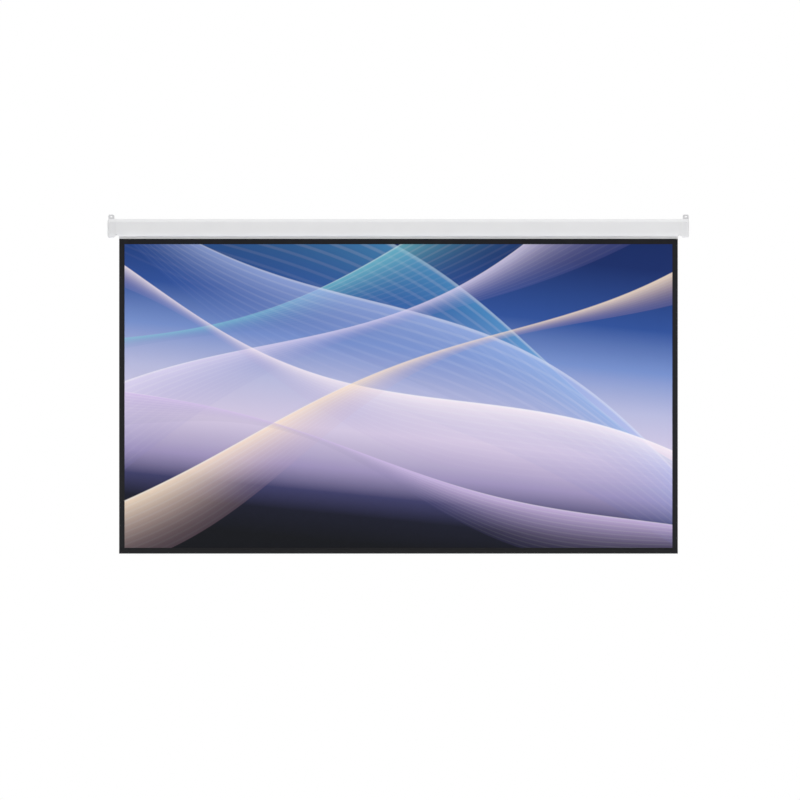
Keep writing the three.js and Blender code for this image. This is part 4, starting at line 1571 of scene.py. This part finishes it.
@dataclass
class ScreenCloth:
    """The cloth from roller to hem: white above, masked in black round its picture, and black behind."""

    depth: float
    top: float
    foot: float
    case_bottom: float
    roller: tuple[float, float]
    half: float
    picture_half: float = 1106 * MM
    leader_below: float = 9.2 * MM
    top_border: float = 22 * MM
    thickness: float = 0.5 * MM
    curl: float = 1.2 * MM
    curl_power: int = 8
    ripple: float = 0.5 * MM
    ripple_waves: float = 1.3
    ripple_start: float = 0.6
    free_power: float = 0.8
    columns: int = 141
    rows: tuple[int, ...] = (72, 4, 3, 6)
    decimals: int = 7
    crease: float = 60.0
    travel: float = 1264.8 * MM
    wrap_radius: float = 20.2 * MM
    wrap_angle: float = 70.0
    wrap_closing: float = 0.3 * MM
    wrap_steps: int = 24
    wrap_stations: int = 17

    @property
    def border_top(self) -> float:
        """Where the white leader ends and the black border starts."""
        return self.case_bottom - self.leader_below

    @property
    def picture_top(self) -> float:
        """Where the picture starts."""
        return self.border_top - self.top_border

    def lines(self) -> tuple[Array, Array]:
        """Where the sheet's points lie, with a line of them on every change of colour.

        Returns:
            Stations across, and heights from the hem up.
        """
        edges = (self.foot, self.picture_top, self.border_top, self.case_bottom, self.top)
        down = [np.linspace(low, high, count) for low, high, count in zip(edges, edges[1:], self.rows)]
        across = [np.linspace(-self.half, self.half, self.columns), [-self.picture_half, self.picture_half]]
        return tuple(np.unique(np.round(np.concatenate(stretches), self.decimals))
                     for stretches in (across, down))

    def skins(self) -> list[Skin]:
        """The sheet's front in its three colours, its back, and a rim between them.

        Its depth is the slot's, plus a forward curl that grows as a power of the share of the half width,
        plus one slow ripple across. Both are scaled by a sine down the sheet, so the top and the hem are
        straight.

        Returns:
            The stretches of surface.
        """
        across, down = self.lines()
        x, z = np.meshgrid(across, down)
        share = x / self.half
        hung = np.clip((self.case_bottom - z) / (self.case_bottom - self.foot), 0, 1)
        ripple = self.ripple * np.sin(TAU * self.ripple_waves * share + self.ripple_start)
        free = np.sin(math.pi * hung) ** self.free_power
        y = self.depth - free * (self.curl * share ** self.curl_power + ripple)
        front, back = (gridded(x, y + shift, z).reshape(-1, 3)
                       for shift in (-self.thickness / 2, self.thickness / 2))
        flat = np.stack([x + self.picture_half, z - self.foot], axis=-1).reshape(-1, 2)

        middle_x, middle_z = np.meshgrid((across[1:] + across[:-1]) / 2, (down[1:] + down[:-1]) / 2)
        picture = (middle_z < self.picture_top) & (np.abs(middle_x) < self.picture_half)
        above = middle_z > self.border_top
        coats = np.select([above, picture], [Coat.WHITE, Coat.PICTURE], Coat.MASK).ravel()
        faces = np.array(grid_faces(*x.shape))
        skins = [Skin(front, faces[coats == coat].tolist(), coat, flat)
                 for coat in (Coat.WHITE, Coat.MASK, Coat.PICTURE)]
        skins.append(Skin(back, faces[:, ::-1].tolist(), Coat.BACK, flat))

        number = np.arange(x.size).reshape(x.shape)
        edge = np.concatenate([number[0], number[1:, -1], number[-1, -2::-1], number[-2:0:-1, 0]])
        rim = grid_faces(2, len(edge), close_columns=True)
        skins.append(Skin(np.vstack([front[edge], back[edge]]), rim, Coat.BACK, np.vstack([flat[edge]] * 2)))
        return skins

    def hanging(self) -> bpy.types.Object:
        """The hanging sheet at full drop, given a mesh of its own. On the real screen it rolls up towards the
        roller as the hem rises.

        Returns:
            The finished sheet.
        """
        finishes = [WHITE_CLOTH, MASK_CLOTH, PICTURE, BACK_CLOTH]
        piece = make_piece("screen_cloth_hanging", self.skins(), finishes, self.crease)
        seat(piece, "case", "screen_cloth", "screen_sheet")
        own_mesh(piece)
        return piece

    def wrap(self) -> bpy.types.Object:
        """The stretch that lies over the roller: an arc from where the cloth leaves it back to its turns.

        Returns:
            The finished stretch.
        """
        turn = np.radians(np.linspace(0, self.wrap_angle, self.wrap_steps + 1))
        radius = self.wrap_radius - np.linspace(0, self.wrap_closing, self.wrap_steps + 1)
        stations = np.linspace(-self.half, self.half, self.wrap_stations)
        skin = wound(self.roller, turn, radius, self.thickness, stations)
        piece = make_piece("screen_cloth_over_roller", [skin], [WHITE_CLOTH])
        seat(piece, "case", "screen_cloth")
        return piece


@dataclass
class Hem:
    """The welded pocket, the weight tube in it, its end plugs and the finger pull behind it."""

    depth: float
    foot: float
    top: float
    half: float
    cloth_foot: float
    lap: float = 0.5 * MM
    tube_radius: float = 6 * MM
    tube_wall: float = 1.4 * MM
    pocket_radius: float = 6.9 * MM
    pocket_bore: float = 6.3 * MM
    round_steps: int = 72
    stations: int = 33
    neck: float = 6 * MM
    neck_half: float = 0.75 * MM
    weld_grooves: int = 4
    groove_rows: int = 8
    groove: float = 0.22 * MM
    shoulder: float = 50.0
    crease: float = 50.0
    over: float = 5 * MM
    plug_head: float = 2 * MM
    plug_barrel: float = 12 * MM
    plug_rim: float = 0.8 * MM
    rim_steps: int = 6
    pull_half: float = 36 * MM
    pull_thickness: float = 2.4 * MM
    pull_rise: float = 5 * MM
    pull_ledge: float = 5.4 * MM
    pull_tip: float = 3 * MM
    pull_bends: tuple[float, ...] = (0.5 * MM, 1.0 * MM, 0.55 * MM, 0.55 * MM, 0.5 * MM, 0.5 * MM,
                                     0.8 * MM, 0.8 * MM)
    pull_steps: int = 5
    pull_edge: float = 0.35 * MM
    seat_gap: float = 0.3 * MM

    @property
    def axis(self) -> tuple[float, float]:
        """Depth and height of the tube's middle line."""
        return self.depth, self.foot + self.pocket_radius

    def pocket(self) -> bpy.types.Object:
        """The pocket: two cloths welded in a neck that open round the tube.

        The neck's face is set back by a groove's depth times a squared sine, once for each weld line, and
        its top laps over the sheet. Below it the cloth runs straight to the shoulder, and then in an arc
        about the tube.

        Returns:
            The finished pocket.
        """
        share = np.linspace(0, 1, self.groove_rows * self.weld_grooves + 1)
        face = self.neck_half - self.groove * np.sin(math.pi * self.weld_grooves * share) ** 2
        height = self.top - self.neck * share
        height[0] = self.cloth_foot + self.lap
        ball = arc(self.pocket_radius, 180 - self.shoulder, 360 + self.shoulder, self.round_steps, self.axis)
        front, rear = (np.stack([self.depth + side * face, height], axis=1) for side in (-1, 1))
        stations = np.linspace(-self.half, self.half, self.stations)
        shell = prism(np.vstack([front, ball, rear[::-1]]), stations)
        shell.cloth = shell.points[:, [0, 2]] + (self.half, -self.top)
        piece = make_piece("hem_pocket_welded", [shell], [MASK_CLOTH], self.crease)
        ends = (-self.half - self.over, self.half + self.over)
        drill(piece, self.pocket_bore, self.axis, ends, self.round_steps)
        settle(piece.data, self.crease)
        return seat(piece, "drop", "border_cloth", "hem_pocket")

    def weight(self) -> bpy.types.Object:
        """The drawn tube that weighs the hem down: a thin ring carried between the heads of its plugs.

        Returns:
            The finished tube.
        """
        low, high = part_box("hem_tube")
        profile = tube_profile(low.x, high.x, self.tube_radius, self.tube_radius - self.tube_wall)
        piece = make_piece("hem_tube_drawn", [turned(profile, self.axis)], [ALUMINIUM])
        return seat(piece, "drop", "hem_aluminium", "hem_tube")

    def plug(self, side: Side) -> bpy.types.Object:
        """An end plug: a head the size of the tube with a rounded rim, and a barrel inside it.

        Args:
            side: The end that it closes.

        Returns:
            The finished plug.
        """
        head, barrel = self.tube_radius, self.tube_radius - self.tube_wall - self.seat_gap
        under, rim = self.half - self.plug_head, self.plug_rim
        tail = under - self.plug_barrel
        edge = arc(rim, 90, 0, self.rim_steps, (self.half - rim, head - rim))
        profile = np.vstack([[(tail, 0), (tail, barrel - rim), (tail + rim, barrel), (under, barrel),
                              (under, head)], edge, [(self.half, 0)]])
        profile[:, 0] *= side.value
        name = f"hem_plug_{side.word}"
        piece = make_piece(f"{name}_moulded", [turned(profile, self.axis)], [BLACK_PLASTIC])
        return seat(piece, "drop", "plug_plastic", name)

    def grip(self) -> bpy.types.Object:
        """The finger pull: a strip behind the hem whose ledge turns up at its tip, with every edge rounded.

        Returns:
            The finished pull.
        """
        face, web = self.pocket_radius + self.seat_gap, self.pull_thickness / 2
        back, out, low = face + self.pull_thickness, face + self.pull_ledge, -self.pocket_radius
        tip, top = low + self.pull_tip, self.pull_rise
        corners = np.array([(face, low), (out, low), (out, tip), (out - web, tip), (out - web, low + web),
                            (back, low + web), (back, top), (face, top)])
        outline = rounded(corners, self.pull_bends, self.pull_steps) + self.axis
        strip = prism(outline, (-self.pull_half, self.pull_half))
        piece = make_piece("pull_grip_moulded", [strip], [BLACK_PLASTIC], bevel=self.pull_edge)
        return seat(piece, "drop", "plug_plastic", "pull_grip")


@dataclass(frozen=True)
class Lamp:
    """A round soft lamp: its place and what it points at in metres, its width, and its power in watts."""

    name: str
    place: tuple[float, float, float]
    target: tuple[float, float, float]
    width: float
    power: float


@dataclass
class Studio:
    """The floor, the light and the camera, none of it part of the object."""

    pixel: float = 4.0346 * MM
    pixels: int = 800
    origin_column: float = 398.65
    origin_row: float = 216.8
    yaw: float = 2.5
    distance: float = 8.0
    far_clip: float = 32.0
    floor: float = -2.0
    floor_half: float = 9.0
    floor_colour: str = "F2F2F2"
    floor_roughness: float = 0.9
    floor_glow: float = 0.36
    around: float = 0.02
    overhead: float = 2.25
    lamps: tuple[Lamp, ...] = (Lamp("key", (6.5, -9.0, 4.5), (0.0, 0.0, -0.6), 5.0, 188.0),)

    def aimed(self, name: str, data: bpy.types.ID, place: Vector, way: Vector) -> bpy.types.Object:
        """Puts a camera or a lamp in the scene.

        Args:
            name: Its name.
            data: The camera or the light.
            place: Where it stands.
            way: Which way it points.

        Returns:
            The object.
        """
        made = in_scene(name, data)
        made.location, made.rotation_euler = place, way.to_track_quat("-Z", "Y").to_euler()
        return made

    def camera(self) -> None:
        """A level camera without perspective, turned a little to the right as the photograph's is."""
        yaw = math.radians(self.yaw)
        right = Vector((math.cos(yaw), math.sin(yaw), 0))
        outward = Vector((math.sin(yaw), -math.cos(yaw), 0))
        across = (self.pixels / 2 - self.origin_column) * self.pixel
        rise = (self.origin_row - self.pixels / 2) * self.pixel
        data = bpy.data.cameras.new("camera")
        data.type, data.ortho_scale, data.clip_end = "ORTHO", self.pixels * self.pixel, self.far_clip
        place = right * across + outward * self.distance + Vector((0, 0, rise))
        bpy.context.scene.camera = self.aimed("camera", data, place, -outward)

    def light(self) -> None:
        """Soft lamps, at a level where a colour renders as it is written."""
        for lamp in self.lamps:
            data = bpy.data.lights.new(lamp.name, "AREA")
            data.shape, data.size, data.energy = "DISK", lamp.width, lamp.power
            place = Vector(lamp.place)
            self.aimed(lamp.name, data, place, Vector(lamp.target) - place)

    def backdrop(self) -> None:
        """White where the camera, glass or gloss looks past the object, and a soft box's light elsewhere.

        The soft box is brightest overhead: its level is a constant plus another times the squared rise.
        """
        world = bpy.data.worlds.new("studio")
        world.use_nodes = True
        tree = world.node_tree
        tree.nodes.clear()
        rays = add_node(tree, "LightPath").node.outputs
        seen = rays["Is Camera Ray"]
        for ray in ("Is Glossy Ray", "Is Transmission Ray"):
            seen = add_node(tree, "Math", [seen, rays[ray]], operation="MAXIMUM")
        rise = add_node(tree, "SeparateXYZ", [add_node(tree, "TexCoord", output="Object")], "Z")
        squared = add_node(tree, "Math", [rise, rise], operation="MULTIPLY")
        level = add_node(tree, "Math", [squared, self.overhead, self.around], operation="MULTIPLY_ADD")
        soft_box, white = (add_node(tree, "Background", [linear("FFFFFF"), strength])
                           for strength in (level, 1.0))
        add_node(tree, "OutputWorld", [add_node(tree, "MixShader", [seen, soft_box, white])])
        bpy.context.scene.world = world

    def ground(self) -> None:
        """A plain pale floor that glows a little, as a light table does, and keeps the object's shadow.

        A camera under it looks through its back, so that the underside of the case can be seen.
        """
        corners = np.array([(-1, -1, 0), (1, -1, 0), (1, 1, 0), (-1, 1, 0)]) * self.floor_half
        mesh = bpy.data.meshes.new("floor")
        mesh.from_pydata((corners + (0, 0, self.floor)).tolist(), [], [(0, 1, 2, 3)])
        made = bpy.data.materials.new("pale_floor")
        made.use_nodes = True
        tree = made.node_tree
        shader = tree.nodes["Principled BSDF"]
        for socket, value in {
            "Base Color": linear(self.floor_colour),
            "Roughness": self.floor_roughness,
            "Emission Color": linear("FFFFFF"),
            "Emission Strength": self.floor_glow,
        }.items():
            shader.inputs[socket].default_value = value
        sides = [add_node(tree, "NewGeometry", output="Backfacing"), add_node(tree, "LightPath")]
        under = add_node(tree, "Math", sides, operation="MULTIPLY")
        through = add_node(tree, "MixShader", [under, shader.outputs[0], add_node(tree, "BsdfTransparent")])
        tree.links.new(through, tree.nodes["Material Output"].inputs["Surface"])
        mesh.materials.append(made)
        in_scene("floor", mesh)

    def build(self) -> None:
        """Sets up the whole studio."""
        bpy.context.scene.view_settings.view_transform = "Standard"
        self.camera()
        self.light()
        self.backdrop()
        self.ground()


def screws() -> None:
    """Builds the cap screws and the two screws of the finger pull."""
    for side in Side:
        outward = Vector((side.value, 0, 0))
        for level in ("upper", "lower"):
            CrossScrew(f"{side.word}_cap_screw_{level}", "case", outward, ScrewSize.CAP).build()
        CrossScrew(f"grip_screw_{side.word}", "drop", Vector((0, 1, 0)), ScrewSize.GRIP).build()


def main() -> None:
    """Builds every sub-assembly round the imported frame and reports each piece."""
    logging.basicConfig(level=logging.INFO, format="%(message)s")
    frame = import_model()
    Studio().build()

    shell_low, shell_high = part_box("case_shell")
    _, cap_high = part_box("right_end_cap")
    _, tube_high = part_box("roller_tube")
    cloth_low, cloth_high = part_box("screen_sheet")
    hem_low, hem_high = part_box("hem_pocket")
    axis, (hem_depth, _) = axis_of("roller_tube"), axis_of("hem_pocket")
    section = Section(shell_high.z, shell_low.z, shell_low.y, shell_high.y)

    Case(section, cloth_high.x, shell_high.x).build()
    for side in Side:
        EndCap(side, section, shell_high.x + EndCap.case_gap, cap_high.x, cap_high.z, axis).build()
    screws()

    roller = Roller(axis, tube_high.x, cloth_high.x)
    roller.tube()
    roller.turns()
    roller.spring()

    hem = Hem(hem_depth, hem_low.z, hem_high.z, hem_high.x, cloth_low.z)
    hem.pocket()
    hem.weight()
    for side in Side:
        hem.plug(side)
    hem.grip()

    cloth = ScreenCloth(hem_depth, axis[1], cloth_low.z, section.bottom, axis, cloth_high.x)
    cloth.hanging()
    cloth.wrap()

    Mechanism(frame, axis).build()


if __name__ == "__main__":
    main()
